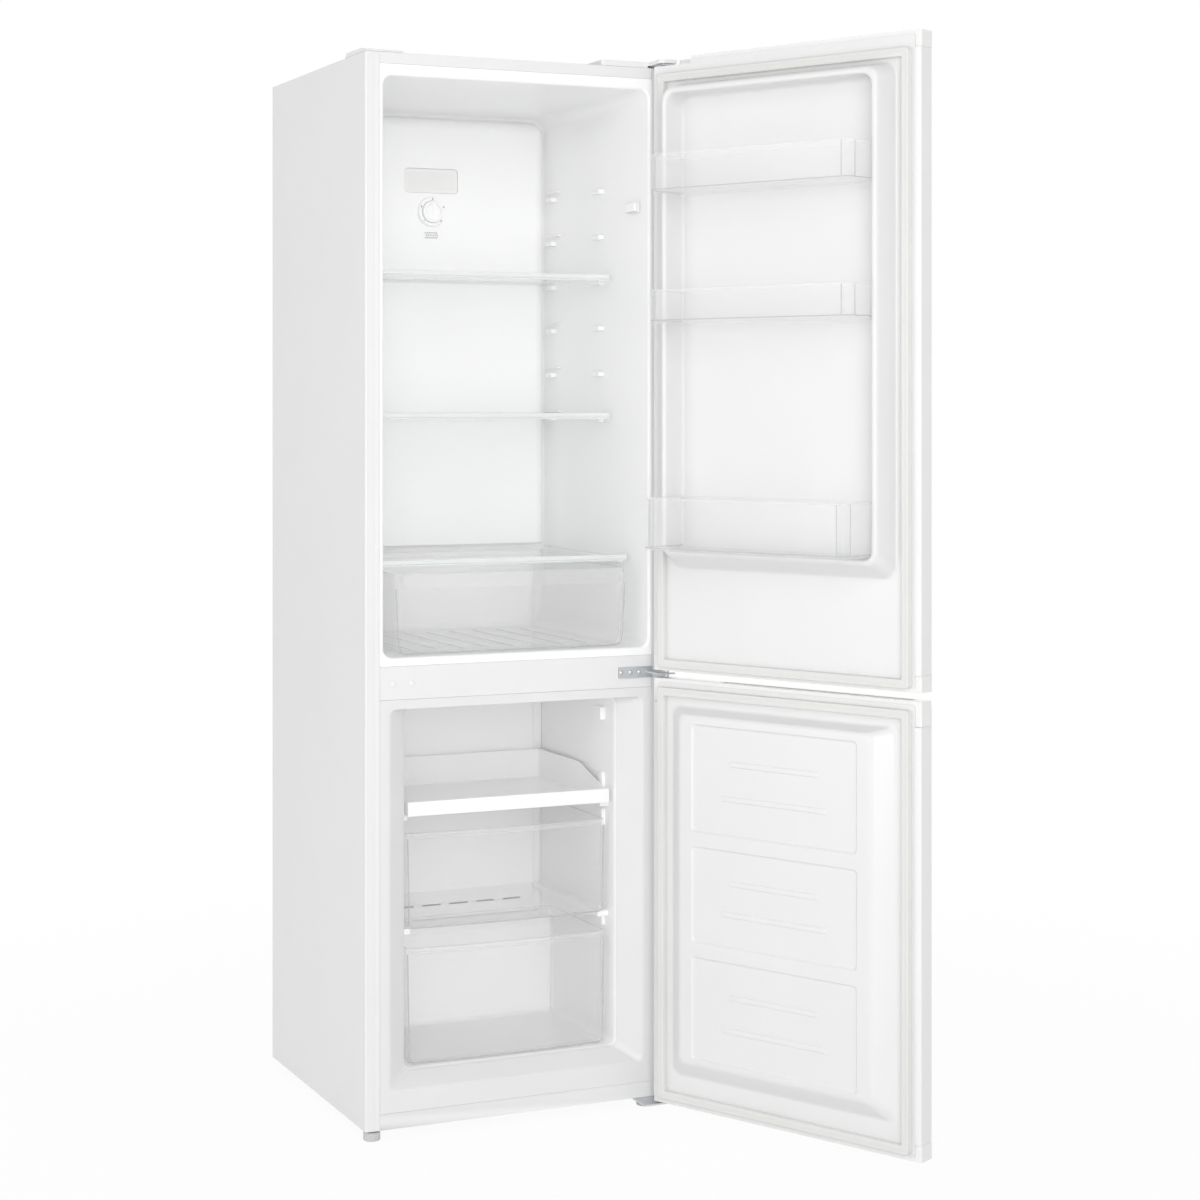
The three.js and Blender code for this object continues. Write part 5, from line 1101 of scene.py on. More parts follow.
def tub(form, half, front, rear, low, high, wall, bow, radius, draft, foot, turn=1):
    """An open-topped box with a rounded foot and leaning walls. Its upper edge gets the second material.
    A turn of -1 puts its rounded front corners at the rear."""

    def at(inset, z):
        points = plan(half - inset, front + inset, rear - inset, bow, max(radius - inset / 2, 1.5), z)
        return [(turn * x, turn * y, z) for x, y, z in points]

    inside, outside = [], []
    for s, c in quarter(6):
        inside.append(at(draft + foot * (1 - s) + wall, low + wall + foot * (1 - c)))
        outside.append(at(draft + foot * (1 - s), low + foot * (1 - c)))
    inside += [at(wall, high - 0.6), at(wall - 0.4, high)]
    outside += [at(0, high - 0.6), at(0.4, high)]
    # The rim strips take the piece's second material; the crisper and drawers make it the grey painted edge
    # shade.
    loft(form, inside + outside[::-1], rim=range(len(inside) - 2, len(inside) + 1))


def front_bead(form, half, low, high, corner, draft, front, bow, radius):
    """The thick moulded edge down both sides and along the foot of a tub's front: a tube that its callers
    paint grey, as painted shade for the refraction line along that edge.
    """
    path = [(-half, high), (draft - half, low + corner)]
    turn = [(draft - half + corner * (1 - c), low + corner * (1 - s)) for s, c in quarter()]
    path += turn[1:] + [(x / 6 * (half - draft - corner), low) for x in range(-5, 0)]
    path += [(0, low)] + [(-x, z) for x, z in reversed(path)]
    tube(form, [(x, front + bow * (x / half) ** 2, z) for x, z in path], radius, 8)


class FRIDGE_OT_crisper(bpy.types.Operator):
    """Clear crisper drawer with its handle band and ribbed floor"""

    bl_idname = "fridge.crisper"
    bl_label = "Crisper"

    def execute(self, context):
        options = sizes("fridge_inside")
        span = Span("crisper")
        half, front, rear = span.x1, span.y0 + 5, span.y1
        form = bmesh.new()
        tub(form, half, front, rear, span.z0, span.z1, WALL, 0, 12, 5, 16)
        band = span.z1 - 25
        reach = half - 12
        block(form, -reach, reach, span.y0, span.y0 + WALL, band, span.z1, 1.1)
        block(form, -reach, reach, span.y0, front + 2, span.z1 - WALL, span.z1, 1.1)
        for x in (-reach, reach):
            block(form, x - 1.2, x + 1.2, span.y0, front + 2, band, span.z1, 1.0)
        rib = bmesh.new()
        width, reach, rise = options["rib"] / 2, 150, 0.25
        block(rib, -width, width, -reach, reach, -0.4, rise, 0.2)
        floor = Matrix.Translation((0, (front + rear) / 2, span.z0 + WALL))
        repeated(form, rib, (options["rib_count"], 1), (options["rib_pitch"], 1), floor)
        # Grey painted shade for the crisper's rims and front bead, where refraction draws dark lines.
        edge = polystyrene_edge()
        piece("crisper_moulded", form, "crisper", ("crisper",), "clear_plastic", crease=50, edge_surface=edge)
        bead = bmesh.new()
        front_bead(bead, half - 2, span.z0 + 2, band, 15, 5, front + 1, 0, 1.3)
        piece("crisper_bead", bead, "crisper", slot="clear_plastic", surface=edge)
        return {"FINISHED"}


class FRIDGE_OT_drawers(bpy.types.Operator):
    """Clear freezer drawers with bowed fronts and handle rims"""

    bl_idname = "fridge.drawers"
    bl_label = "Freezer drawers"

    def execute(self, context):
        # edge is the grey painted shade for the drawers' rims and front beads, where refraction draws dark
        # lines.
        bow, draft, edge = 9, 3, polystyrene_edge()
        for name in ("middle_drawer", "lower_drawer"):
            span = Span(name)
            half, front = span.x1, span.y0 + 4
            form = bmesh.new()
            tub(form, half, front, span.y1, span.z0, span.z1, WALL, bow, 8, draft, 6)
            grip, grip_foot = half - 8, span.z1 - 9
            outer = [(grip * (i / 8 - 1), span.y0 + bow * (i / 8 - 1) ** 2) for i in range(17)]
            inner = [(x, y + 7) for x, y in reversed(outer)]
            prism(form, outer + inner, grip_foot, grip_foot + WALL)
            face = [(x, y + 2) for x, y in reversed(outer)]
            prism(form, outer + face, grip_foot, span.z1)
            piece(name + "_moulded", form, name, (name,), "clear_plastic", crease=50, edge_surface=edge)
            bead = bmesh.new()
            front_bead(bead, half - 1.5, span.z0 + 1.5, span.z1 - 10, 9, draft, front + 0.8, bow, 1.2)
            piece(name + "_bead", bead, name, slot="clear_plastic", surface=edge)
        return {"FINISHED"}


def bin_path(span, inset, z):
    """Along a bin's wall: out from the door, across its front and back."""
    half, front, rear = span.x1 - inset, span.y1 - inset, span.y0 + 1
    return bent([(-half, rear, z), (-half, front, z), (half, front, z), (half, rear, z)], 15, 8)


class FRIDGE_OT_bins(bpy.types.Operator):
    """Clear door bins with rounded front corners and rims"""

    bl_idname = "fridge.bins"
    bl_label = "Door bins"

    def execute(self, context):
        rim, thin = sizes("fridge_door")["bin_rim"], 0.9
        for name in DOOR_BINS:
            span = Span(name)
            form = bmesh.new()
            # The rounded corners are a tub's front ones. A bin's face the compartment.
            tub(form, span.x1, -span.y1, -span.y0, span.z0, span.z1, 2, 0, 16, 0.8, 5, turn=-1)
            tube(form, bin_path(span, rim, span.z1 - rim), rim, 8)
            piece(name + "_moulded", form, name, (name,), "clear_plastic", crease=50)
            # Grey beads round the foot and up each front corner: painted shade lines where refraction and the
            # corners' curvature show in the clear walls.
            bead = bmesh.new()
            tube(bead, bin_path(span, 1.6, span.z0 + 5), thin, 8)
            for side in (-1, 1):
                for x, y in ((span.x1 - 1.6, span.y1 - 17), (span.x1 - 17, span.y1 - 1.6)):
                    tube(bead, [(side * x, y, z) for z in (span.z0 + 6, span.z1 - 2)], thin, 8)
            piece(name + "_bead", bead, name, slot="clear_plastic", surface=polystyrene_edge())
        return {"FINISHED"}


# ---- Freezer compartment ----


class FRIDGE_OT_freezer(bpy.types.Operator):
    """Freezer liner, tray shelf and evaporator cover"""

    bl_idname = "fridge.freezer"
    bl_label = "Freezer liner and tray"

    def execute(self, context):
        self.liner()
        # The tray's whiter polystyrene is partly painted light, making up for the shade inside the freezer.
        rounded_node("freezer_tray", 1.0, surface=moulded_polystyrene())
        self.evaporator_cover()
        return {"FINISHED"}

    def liner(self):
        """Rings from the cavity's back over the compressor's step to its flared mouth, then the flange and
        the liner's outside."""
        half, low, high, step = FREEZER_HALF, 106, 705, 278
        flare, fillet, edge, foot = 37.8, 10, 20, 8
        mouth_depth, step_front, back, wall = 32, 300, 450, 2
        flange_foot, flange_top = 44.3, 723.7

        def at(y, floor, spread=0.0, grow=0.0):
            share = spread / flare
            bottom, top = floor - 26 * share - grow, high + 3 * share + grow
            return ring(half + spread + grow, bottom, top, 12 + grow, y)

        rings = [at(back - fillet * (1 - c), step, grow=fillet * (s - 1)) for s, c in quarter()]
        rings += [at(step_front + edge * (1 - s), step - edge * (1 - c)) for s, c in quarter()]
        rings += [at(step_front - foot * (1 - c), low + foot * (1 - s)) for s, c in quarter(4)]
        mouth = rounded_profile([(0, 60), (0, mouth_depth), (flare, 0), (flare + 12, 0)], [8, 4])
        rings += [at(y, low, spread) for spread, y in mouth[:-1]]
        rings += [ring(FLANGE_HALF, flange_foot, flange_top, 1.5, y) for y in (0, wall)]
        rings += [at(wall, low, flare, wall), at(mouth_depth + wall, low, 0, wall)]
        rings += [at(step_front + wall, floor, 0, wall) for floor in (low, step)]
        rings.append(at(back + wall, step, 0, wall))
        form = bmesh.new()
        loft(form, rings)
        # The flare and flange in front of the mouth's depth take the liner's greyer copy: painted shade on
        # faces the key lamp lights head-on.
        for face in form.faces:
            face.material_index = int(face.calc_center_median().y < mouth_depth)
        # (front, rear, reach, low, high) of the ledges and studs on both walls
        fixings = [(60, 346, 15, 512.7, 522.7), (60, 346, 20, 322, 332), (73, 88, 6, 304, 323)]
        fixings += [(73, 88, 6, z, z + 31) for z in (476, 539)] + [(73, 103, 9, 661, 683)]
        for front, rear, reach, bottom, top in fixings:
            for side in (-1, 1):
                a, b = sorted((side * (half - reach), side * (half + 1.5)))
                block(form, a, b, front, rear, bottom, top, 1.5)
        piece(
            "freezer_liner_formed",
            form,
            "cabinet",
            ("freezer_liner",),
            "liner_plastic",
            crease=50,
            edge_surface=formed_door_liner(),
        )

    def evaporator_cover(self):
        """A moulded cover with two rows of air slots."""
        span = Span("evaporator_cover")
        form = bmesh.new()
        rolled_cover(form, span, 8, 2, 1.0)
        tools, slot = bmesh.new(), bmesh.new()
        block(slot, -18, 18, -1.6, 1.6, -5, 5, 1.2, 2)
        low, high = span.z0 + 27, span.z1 - 15
        place = Matrix.Translation((0, span.y0, (low + high) / 2)) @ FACING_FRONT
        repeated(tools, slot, (6, 2), (52, high - low), place)
        nodes = ("evaporator_cover",)
        piece("evaporator_cover_formed", form, "cabinet", nodes, "liner_plastic", carve=tools, crease=50)
        flanges = bmesh.new()
        for side in (-1, 1):
            a, b = sorted((side * (span.x1 - 1), side * (FREEZER_HALF - 0.5)))
            block(flanges, a, b, span.y0 + 4, span.y0 + 6, span.z0 + 2, span.z1 - 2, 0.6)
        piece("evaporator_cover_flanges", flanges, "cabinet", slot="liner_plastic")


class FRIDGE_OT_cooling(bpy.types.Operator):
    """Evaporator fins and tubes, fan and motor"""

    bl_idname = "fridge.cooling"
    bl_label = "Evaporator and fan"

    def execute(self, context):
        count = sizes("fridge_inside")["fin_count"]
        span = Span("evaporator")
        low = span.z0 + 34
        form = bmesh.new()
        fin = bmesh.new()
        block(fin, -0.15, 0.15, span.y0, span.y1, low, span.z1)
        end_plate = 1.5
        pitch = (span.x1 - span.x0 - 2 * end_plate) / (count - 1)
        repeated(form, fin, (count, 1), (pitch, 1))
        for x in (span.x0, span.x1 - end_plate):
            block(form, x, x + end_plate, span.y0, span.y1, span.z0, span.z1, 0.3)
        half = span.x1 - 8
        route = []
        rows = 5
        for row in range(rows):
            z = low + (span.z1 - low) * (row + 0.5) / rows
            ends = (-half, half) if row % 2 == 0 else (half, -half)
            route += [(x, span.mid_y, z) for x in ends]
        tube(form, bent(route, 12), 4)
        piece("evaporator_coil", form, "cabinet", ("evaporator",), "aluminium")
        rounded_node("fan_motor", 1.0)
        self.impeller()
        return {"FINISHED"}

    def impeller(self):
        """A hub with a rounded nose, and five blades whose pitch eases towards the tip."""
        span = Span("fan_impeller")
        y, z = span.mid_y, span.mid_z
        hub = 15
        tip = (span.z1 - span.z0) / 2
        form = bmesh.new()
        dome = [(0, span.y0), (hub - 3, span.y0)]
        dome += [(hub - 3 + 3 * s, span.y0 + 3 * (1 - c)) for s, c in quarter(4)]
        turned(form, dome + [(hub, span.y1), (0, span.y1)], (0, 0, z), "Y")
        blades = 5
        for i in range(blades):
            spin = Matrix.Translation((0, y, z)) @ Matrix.Rotation(i * 2 * math.pi / blades, 4, "Y")
            rings = []
            for k in range(7):
                share = k / 6
                reach = hub - 2 + (tip - hub + 1.5) * share
                chord = 7.5 + 2.0 * math.sin(math.pi * share)
                pitch = math.radians(38 - 16 * share)
                outline = [(-1, 0), (-0.6, 0.9), (0.2, 1.0), (1, 0), (0.2, -0.5), (-0.6, -0.5)]
                points = []
                for a, b in outline:
                    across, thick = a * chord, b * 0.8
                    sideways = across * math.cos(pitch) - thick * math.sin(pitch)
                    along = across * math.sin(pitch) + thick * math.cos(pitch)
                    points.append(tuple(spin @ Vector((sideways, along, reach))))
                rings.append(points)
            loft(form, rings)
        piece("fan_impeller_moulded", form, "fan_impeller", ("fan_impeller",), "black_plastic", crease=50)


# ---- Compressor bay ----


class FRIDGE_OT_compressor(bpy.types.Operator):
    """Compressor, its copper pipes, filter drier and drip tray"""

    bl_idname = "fridge.compressor"
    bl_label = "Compressor"

    def execute(self, context):
        tray = Span("drip_tray")
        base = Span("compressor_base")
        x, y = tray.mid_x, tray.mid_y
        low, high = base.z1 + 12.3, tray.z0 - SEAT_GAP
        tall = high - low
        radius, end = CAN_RADIUS, CAN_RADIUS * CAN_LENGTHENED
        form = bmesh.new()
        lower = [(0, 0), (0.6, 0), (0.8, 0.03), (0.93, 0.1), (0.985, 0.25), (1, 0.5), (1, 0.535)]
        seam = [(1.04, 0.54), (1.04, 0.575), (1, 0.58)]
        upper = [(1, 0.68), (0.97, 0.8), (0.88, 0.9), (0.72, 0.965), (0.4, 0.995), (0, 1)]
        shape = [(r * radius, z * tall) for r, z in lower + seam + upper]
        can = bmesh.new()
        turned(can, shape, (0, 0, 0), sides=56)
        can.transform(Matrix.Translation((x, y, low)) @ Matrix.Diagonal((CAN_LENGTHENED, 0.96, 1, 1)))
        form.from_mesh(closed_mesh(can, "can"))
        reach = end + 12
        for side in (-1, 1):
            rail = y + side * radius / 2
            block(form, x - reach, x + reach, rail - 12, rail + 12, low - 2.5, low + 1.5, 1)
        block(form, x - end - 10, x - radius * 1.2 + 6, y - 30, y + 22, low + 40, low + 92, 5)
        piece("compressor_shell", form, "cabinet", ("compressor",), "black_enamel", crease=50)
        self.mounts(x, y, reach, base.z1, low)
        self.pipes(x, y, low, tall)
        rounded_node("drip_tray", 0.8)
        return {"FINISHED"}

    def mounts(self, x, y, reach, floor, low):
        """Four waisted rubber mounts under the compressor's feet."""
        form = bmesh.new()
        mount = bmesh.new()
        top = low - floor - 2.5
        grommet = [(0, 0), (9, 0), (9, 3), (6.5, 4.2), (6.5, 6.4), (9, 7.6), (9, top), (0, top)]
        turned(mount, grommet, (0, 0, 0), sides=24)
        repeated(form, mount, (2, 2), (2 * reach - 26, 70), Matrix.Translation((x, y, floor)))
        piece("compressor_mounts", form, "cabinet", slot="black_rubber", crease=40)

    def pipes(self, x, y, low, tall):
        """Suction pipe, discharge pipe and drier, on the source's routes."""
        end = x - CAN_RADIUS * CAN_LENGTHENED
        ceiling = BAY_CEILING - 1.2
        form = bmesh.new()
        for reach, across, up in ((60, 0.25, 0.5), (150, -0.25, 0.25)):
            pipe_x, pipe_y, pipe_z = end - reach, y + CAN_RADIUS * across, low + tall * up
            route = [(end + 10, pipe_y, pipe_z), (pipe_x, pipe_y, pipe_z), (pipe_x, pipe_y, ceiling)]
            tube(form, bent(route, 22, 10), 4, 16)
        # The drier hangs in the discharge pipe, the second one.
        drier = [(0, 0), (4.2, 0), (9, 9), (9, 76), (4.2, 85), (0, 85)]
        turned(form, drier, (pipe_x, pipe_y, BAY_CEILING - 112), sides=32)
        piece("refrigerant_pipes", form, "cabinet", surface=drawn_copper(), crease=40)


class FRIDGE_OT_feet(bpy.types.Operator):
    """Levelling feet, rear rollers and their axles"""

    bl_idname = "fridge.feet"
    bl_label = "Feet and rollers"

    def execute(self, context):
        for name in ("foot_left", "foot_right"):
            self.foot(name)
        for name in ("roller_left", "roller_right"):
            self.roller(name)
        for name in ("roller_axle_left", "roller_axle_right"):
            rounded_node(name, 0.5)
        return {"FINISHED"}

    def foot(self, name):
        """A fluted pad under a threaded stem."""
        span = Span(name)
        x, y = span.mid_x, span.mid_y
        radius = (span.x1 - span.x0) / 2
        pad, flutes, points = 14, 20, 160

        def fluted(inset, z):
            turns = [i / points * 2 * math.pi for i in range(points)]
            reaches = [radius - inset - 0.4 * (1 - math.cos(flutes * t)) for t in turns]
            return [(x + r * math.cos(t), y + r * math.sin(t), z) for r, t in zip(reaches, turns)]

        form = bmesh.new()
        loft(form, [fluted(1.2, 0), fluted(0, 1.2), fluted(0, pad - 1.2), fluted(1.2, pad)])
        heights = [pad - 1 + i * 0.75 for i in range(24)]
        thread = [(5.0 - 0.5 * (i % 2), z) for i, z in enumerate(heights) if z < span.z1]
        turned(form, [(0, pad - 1), *thread, (4, span.z1), (0, span.z1)], (x, y, 0), sides=36)
        piece(name + "_moulded", form, name, (name,), "grey_plastic", crease=40)

    def roller(self, name):
        """A wheel with a rounded tread and a groove in each side."""
        span = Span(name)
        radius, wide = (span.z1 - span.z0) / 2, (span.x1 - span.x0) / 2
        side = [(3.1, wide), (6, wide), (6.5, wide - 1), (9.5, wide - 1), (10, wide), (radius - 2, wide)]
        half = side + [(radius, wide - 2)]
        outline = [(r, -along) for r, along in half] + half[::-1]
        form = bmesh.new()
        turned(form, outline, (span.mid_x, span.mid_y, radius), "X", 40, wrap=True)
        piece(name + "_moulded", form, name, (name,), "black_rubber", crease=40)


# ---- Hinges ----


class FRIDGE_OT_hinges(bpy.types.Operator):
    """Pressed steel hinge brackets with their screws"""

    bl_idname = "fridge.hinges"
    bl_label = "Hinges"

    def execute(self, context):
        radius = sizes("fridge_shell")["screw_head"]
        for name in ("top_hinge", "middle_hinge", "bottom_hinge"):
            rounded_node(name, 0.5)
        middle = Span("middle_hinge")
        face, pitch = -3.3, 17
        places = [((middle.x0 + 22, face, middle.mid_z), (3, 1), (pitch, 1))]
        screws("middle_hinge_screws", "cabinet", places, FACING_FRONT, radius)
        return {"FINISHED"}


# ---- Doors ----


def skin_outline(half, face, rim):
    """Plan of a steel door skin: rounded front corners and a rolled inner edge that ends in a flange."""
    sheet, corner, roll, crown, flange = SHEET, 8.7, 10, 4.5, 12
    seat = rim - 2.3

    def right(inset):
        r = corner - inset
        turn = [(half - inset - r * (1 - s), face + inset + r * (1 - c)) for s, c in quarter()]
        reach, rise = roll - inset, crown - inset
        return turn + [(half - inset - reach * (1 - c), rim - crown + rise * s) for s, c in quarter(6)]

    outside = right(0) + [(half - roll, seat), (half - roll - flange, seat)]
    inside = [(half - roll - flange, seat - sheet), (half - roll + sheet, seat - sheet)]
    inside += right(sheet)[::-1]
    one = outside + inside
    return one + [(-x, y) for x, y in reversed(one)]


def door_skin(body):
    """A door's skin: one folded outline raised over the door's height."""
    name = body + "_skin"
    span = Span(name)
    form = bmesh.new()
    prism(form, skin_outline(span.x1, span.y0, span.y1), span.z0, span.z1)
    piece(name + "_rolled", form, body, (name,), "white_enamel")


def door_gasket(body, fold):
    """A gasket's soft section swept round the door: foot, folds and magnet bead."""
    name = body + "_gasket"
    span = Span(name)
    wide, y0, y1 = 15, span.y0, span.y1
    section = [
        (0, y0),
        (0.4, y0 + 2.4),
        (fold, y0 + 3.6),
        (fold, y0 + 4.6),
        (0.6, y0 + 5.8),
        (0.2, y1 - 1.4),
        (1.2, y1 - 0.2),
        (4.5, y1),
        (6.2, y1 - 1.0),
        (8, y1),
        (13.4, y1 - 0.2),
        (wide - 0.4, y1 - 1.6),
        (wide - 0.2, y0 + 5.6),
        (wide - fold, y0 + 4.6),
        (wide - fold, y0 + 3.6),
        (wide - 0.4, y0 + 2.4),
        (wide, y0),
    ]
    rings = [ring(span.x1 - a, span.z0 + a, span.z1 - a, max(7 - a * 0.35, 1.5), y) for a, y in section]
    form = bmesh.new()
    loft(form, rings, wrap=True)
    piece(name + "_folded", form, body, (name,), "seal_rubber", crease=60)


def liner_plate(span):
    """A door liner's first two rings: its flat edge, which holds the gasket's foot."""
    return [ring(span.x1, span.z0, span.z1, 6, y) for y in (DOOR_RIM - 2, DOOR_RIM)]


def rounded_profile(points, radius, steps=5):
    """Rounds the corners of an open profile of (inset, y) points, or leaves a corner sharp by radius 0."""
    path = [points[0]]
    for i in range(1, len(points) - 1):
        r = radius[i - 1]
        corner = Vector(points[i])
        if not r:
            path.append(tuple(corner))
            continue
        before, after = Vector(points[i - 1]), Vector(points[i + 1])
        start = corner + (before - corner).normalized() * min(r, (before - corner).length * 0.49)
        end = corner + (after - corner).normalized() * min(r, (after - corner).length * 0.49)
        for k in range(steps + 1):
            t = k / steps
            path.append(tuple(start * (1 - t) ** 2 + corner * 2 * t * (1 - t) + end * t**2))
    return path + [points[-1]]


class FRIDGE_OT_upper_door(bpy.types.Operator):
    """Upper door: steel skin, moulded caps, formed liner and gasket"""

    bl_idname = "fridge.upper_door"
    bl_label = "Upper door"

    def execute(self, context):
        options = sizes("fridge_door")
        door_skin("upper_door")
        self.top_cap(options["cap_edge"])
        rounded_node("upper_door_bottom_cap", options["cap_edge"])
        self.liner(options)
        door_gasket("upper_door", options["gasket_groove"])
        return {"FINISHED"}

    def top_cap(self, edge):
        """The cap's own form, with the thin front wall that hides its hinge notch."""
        name = "upper_door_top_cap"
        form = merged_copy(name)
        span = Span(name)
        block(form, span.x1 - 83, 240, span.y0, span.y0 + 2.7, span.z1 - 14, span.z1, 0.5)
        piece(name + "_finished", form, "upper_door", (name,), "white_plastic", edge=edge)

    def liner(self, options):
        name = "upper_door_liner"
        span = Span(name)
        rim, crest = DOOR_RIM, span.y1
        low, high = 935, 1751
        half = 225.5
        soft = options["dyke_round"]
        # (inset from the sides, inset from the foot, inset from the top, y) across the dyke
        section = [(0, 0, 0, rim), (8, 22, 8, crest), (19, 30, 19, crest), (19, 30, 19, rim)]
        spread = []
        for index in (0, 1, 2):
            profile = [(p[index], p[3]) for p in section]
            start = (profile[0][0] - 8, rim)
            end = (profile[-1][0] + 14, rim)
            spread.append(rounded_profile([start, *profile, end], [5, soft, 6, 18]))
        form = bmesh.new()
        rings = liner_plate(span)
        for (side, y), (foot, _), (top, _) in zip(*spread):
            share = min(max((side - 8) / 20, 0), 1)
            rings.append(ring(half - side, low + foot, high - top, 22 - 6 * share, y, 22 - 14 * share))
        loft(form, rings)
        self.panel(form, rim)
        self.seats(form, rim)
        tool = bmesh.new()
        cap = Span("upper_door_top_cap")
        notch_floor = 1787
        block(tool, cap.x1 - 82, cap.x1 + 5, cap.y0 - 5, 5, notch_floor, cap.z1 + 10)
        surface = formed_door_liner()
        piece(name + "_formed", form, "upper_door", (name,), "liner_plastic", surface, carve=tool, crease=50)

    def panel(self, form, rim):
        """The plain raised panel under the dyke."""
        half, low, high = 210.5, Span("upper_door_bottom_cap").z0 + 26, 928
        profile = rounded_profile([(-6, rim - 0.2), (0, rim), (8, rim + 8), (20, rim + 8)], [4, 5])
        rings = [ring(half - a, low + a, high - a, max(10 + a * 0.2, 4), y) for a, y in profile]
        loft(form, [ring(half + 6, low - 6, high + 6, 10, rim - 1.5)] + rings)

    def seats(self, form, rim):
        """The ledges in the dyke's sides that carry the bins. The lowest ones end at the dyke's foot."""
        recess = 206.5
        for name in DOOR_BINS:
            seat = Span(name).z0 - SEAT_GAP
            low = max(seat - 8, 964.5)
            for side in (-1, 1):
                a, b = sorted((side * (recess - 5), side * (recess + 1.5)))
                block(form, a, b, rim + 2, rim + 32, low, seat, min(1.0, (seat - low) / 3))


class FRIDGE_OT_lower_door(bpy.types.Operator):
    """Lower door: steel skin, grip cap, formed liner with three sunk panels and gasket"""

    bl_idname = "fridge.lower_door"
    bl_label = "Lower door"

    def execute(self, context):
        options = sizes("fridge_door")
        door_skin("lower_door")
        rounded_node("lower_door_top_cap", options["cap_edge"])
        rounded_node("lower_door_bottom_cap", options["cap_edge"])
        self.liner(options)
        door_gasket("lower_door", options["gasket_groove"])
        return {"FINISHED"}

    def liner(self, options):
        name = "lower_door_liner"
        span = Span(name)
        rim, crest = DOOR_RIM, span.y1
        half, low, high = 224.5, 76, 700
        spread = []
        for taper in (30, 12):
            profile = [(-6, rim), (0, rim), (taper, crest), (taper + 14, crest)]
            spread.append(rounded_profile(profile, [6, 7]))
        form = bmesh.new()
        rings = liner_plate(span)
        for (side, y), (top, _) in zip(*spread):
            rings.append(ring(half - side, low + side, high - top, 16, y))
        loft(form, rings)
        tools = bmesh.new()
        ribs = bmesh.new()
        start, bar = low + 38, 23
        room = high - 24 - start - 2 * bar
        for share in (0.335, 0.314, 0.351):
            end = start + room * share
            face = crest - 3
            profile = rounded_profile([(6, face), (3, face), (0, crest), (-2, crest + 2)], [1.5, 0.8], 3)
            rings = [ring(167.5 - a, start + a, end - a, 7, y) for a, y in profile]
            loft(tools, rings)
            for portion, reach in ((0.34, 105), (0.66, 90)):
                z = start + (end - start) * portion
                block(ribs, -reach, reach, face - 4, face + options["rib_rise"], z - 5, z + 5, 2.7, 4)
            start = end + bar
        host = object_of(form, "panel_host")
        carved(host, tools)
        whole = bmesh.new()
        whole.from_mesh(host.data)
        whole.from_mesh(closed_mesh(ribs, "ribs"))
        bpy.data.objects.remove(host)
        surface = formed_door_liner()
        piece(name + "_formed", whole, "lower_door", (name,), "liner_plastic", surface, crease=50)


# ---- Stage ----


def backdrop_rays(tree):
    """One for the rays that show the white background: straight, mirrored or through glass."""
    ray = add(tree, "ShaderNodeLightPath")
    found = ray.outputs["Is Camera Ray"]
    for kind in ("Is Glossy Ray", "Is Transmission Ray"):
        either = add(tree, "ShaderNodeMath", {"operation": "MAXIMUM"}, {0: found, 1: ray.outputs[kind]})
        found = either.outputs[0]
    return found


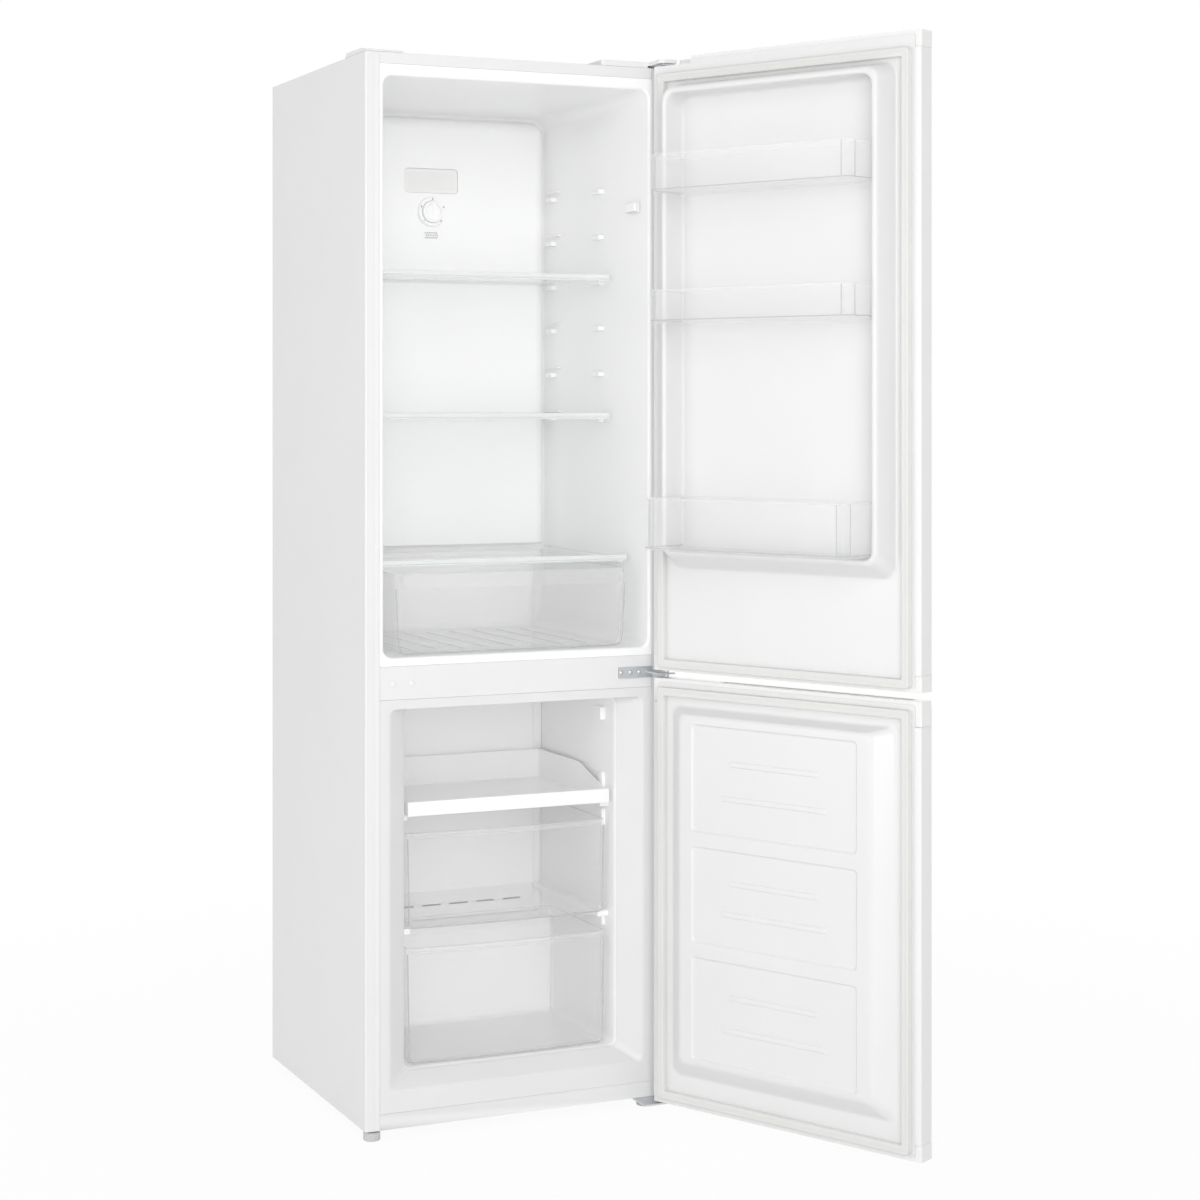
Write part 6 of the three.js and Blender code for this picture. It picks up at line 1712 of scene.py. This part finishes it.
class FRIDGE_OT_stage(bpy.types.Operator):
    """Camera, pale floor and plain soft light"""

    bl_idname = "fridge.stage"
    bl_label = "Stage"

    def execute(self, context):
        stage = context.scene.fridge_stage
        self.camera(context, stage.focal)
        self.floor()
        self.world(context, stage.sky)
        aim = Vector((0, 0, 0.9))
        self.lamp("key_lamp", (-1.3, -4.3, 2.7), aim, 2.4, stage.key)
        self.lamp("low_lamp", (-1.2, -4.2, 0.7), aim, 1.6, stage.low)
        self.lamp("side_lamp", (-4.2, -0.7, 1.0), aim, 2.6, stage.side)
        self.lamp("back_lamp", (2.6, 4.4, 2.4), aim, 3.0, stage.back)
        context.scene.view_settings.view_transform = "Standard"
        # White walls face each other in here, and up to a dozen clear ones lie in one line of sight.
        context.scene.cycles.max_bounces = 16
        context.scene.cycles.diffuse_bounces = 10
        context.scene.cycles.transparent_max_bounces = 32
        return {"FINISHED"}

    def camera(self, context, focal):
        """A level camera at the reference view's place. Its lens is shifted, so uprights stay upright."""
        lens = bpy.data.cameras.new("camera")
        lens.sensor_width = 36
        lens.lens = focal
        lens.shift_y = -0.1636
        eye = linked("camera", lens)
        eye.location = (-1.7088, -3.8390, 1.2117)
        eye.rotation_euler = (math.radians(90), 0, math.radians(-24.459))
        context.scene.camera = eye

    def floor(self):
        """A pale disc that goes to plain white away from the object and keeps its shadow near it."""
        form = bmesh.new()
        bmesh.ops.create_circle(form, cap_ends=True, radius=9, segments=96)
        mesh = bpy.data.meshes.new("floor")
        form.to_mesh(mesh)
        form.free()
        material = bpy.data.materials.new("pale_floor")
        tree = empty_tree(material)
        where = add(tree, "ShaderNodeTexCoord")
        far = add(tree, "ShaderNodeVectorMath", {"operation": "LENGTH"}, {0: where.outputs["Object"]})
        reach = {"From Min": 0.9, "From Max": 2.4, "To Min": 0.94, "To Max": 1.0}
        fade = add(tree, "ShaderNodeMapRange", reach, {"Value": far.outputs["Value"]})
        both = {0: fade.outputs["Result"], 1: backdrop_rays(tree)}
        seen = add(tree, "ShaderNodeMath", {"operation": "MULTIPLY"}, both)
        matt = add(tree, "ShaderNodeBsdfDiffuse", {"Color": (*linear("#F2F2F2"), 1)})
        glow = add(tree, "ShaderNodeEmission", {"Color": (1, 1, 1, 1), "Strength": 1.0})
        layers = {0: seen.outputs[0], 1: matt.outputs["BSDF"], 2: glow.outputs["Emission"]}
        mixed = add(tree, "ShaderNodeMixShader", links=layers)
        add(tree, "ShaderNodeOutputMaterial", links={"Surface": mixed.outputs["Shader"]})
        mesh.materials.append(material)
        linked("floor", mesh)

    def world(self, context, strength):
        """Even white light from all round, and plain white behind the object."""
        world = bpy.data.worlds.new("studio")
        context.scene.world = world
        tree = empty_tree(world)
        reach = {"To Min": strength, "To Max": 1.0}
        glow = add(tree, "ShaderNodeMapRange", reach, {"Value": backdrop_rays(tree)})
        white = {"Color": (1, 1, 1, 1)}
        sky = add(tree, "ShaderNodeBackground", white, {"Strength": glow.outputs["Result"]})
        add(tree, "ShaderNodeOutputWorld", links={"Surface": sky.outputs["Background"]})

    def lamp(self, name, place, aim, size, watts):
        """A square soft lamp that faces the object."""
        soft = bpy.data.lights.new(name, "AREA")
        soft.shape = "SQUARE"
        soft.size = size
        soft.energy = watts
        lamp = linked(name, soft)
        lamp.location = place
        lamp.rotation_euler = (aim - Vector(place)).to_track_quat("-Z", "Y").to_euler()


OPERATORS = (
    FRIDGE_OT_stage,
    FRIDGE_OT_shell,
    FRIDGE_OT_back,
    FRIDGE_OT_top_caps,
    FRIDGE_OT_fridge_liner,
    FRIDGE_OT_duct,
    FRIDGE_OT_door_switch,
    FRIDGE_OT_shelves,
    FRIDGE_OT_crisper,
    FRIDGE_OT_drawers,
    FRIDGE_OT_bins,
    FRIDGE_OT_freezer,
    FRIDGE_OT_cooling,
    FRIDGE_OT_compressor,
    FRIDGE_OT_feet,
    FRIDGE_OT_hinges,
    FRIDGE_OT_upper_door,
    FRIDGE_OT_lower_door,
)


class FRIDGE_PT_panel(bpy.types.Panel):
    """Lists the steps that build the refrigerator"""

    bl_idname = "FRIDGE_PT_panel"
    bl_label = "Refrigerator"
    bl_space_type = "VIEW_3D"
    bl_region_type = "UI"
    bl_category = "Refrigerator"

    def draw(self, context):
        for operator in OPERATORS:
            self.layout.operator(operator.bl_idname)
        for name in GROUPS:
            values = getattr(context.scene, name)
            box = self.layout.box()
            for key in values.__annotations__:
                box.prop(values, key)


def register():
    for group in GROUPS.values():
        bpy.utils.register_class(group)
    for name, group in GROUPS.items():
        setattr(bpy.types.Scene, name, PointerProperty(type=group))
    for operator in (*OPERATORS, FRIDGE_PT_panel):
        bpy.utils.register_class(operator)


def unregister():
    for operator in (FRIDGE_PT_panel, *reversed(OPERATORS)):
        bpy.utils.unregister_class(operator)
    for name in GROUPS:
        delattr(bpy.types.Scene, name)
    for group in reversed(GROUPS.values()):
        bpy.utils.unregister_class(group)


def main():
    register()
    for operator in OPERATORS:
        area, step = operator.bl_idname.split(".")
        getattr(getattr(bpy.ops, area), step)()


if __name__ == "__main__":
    main()
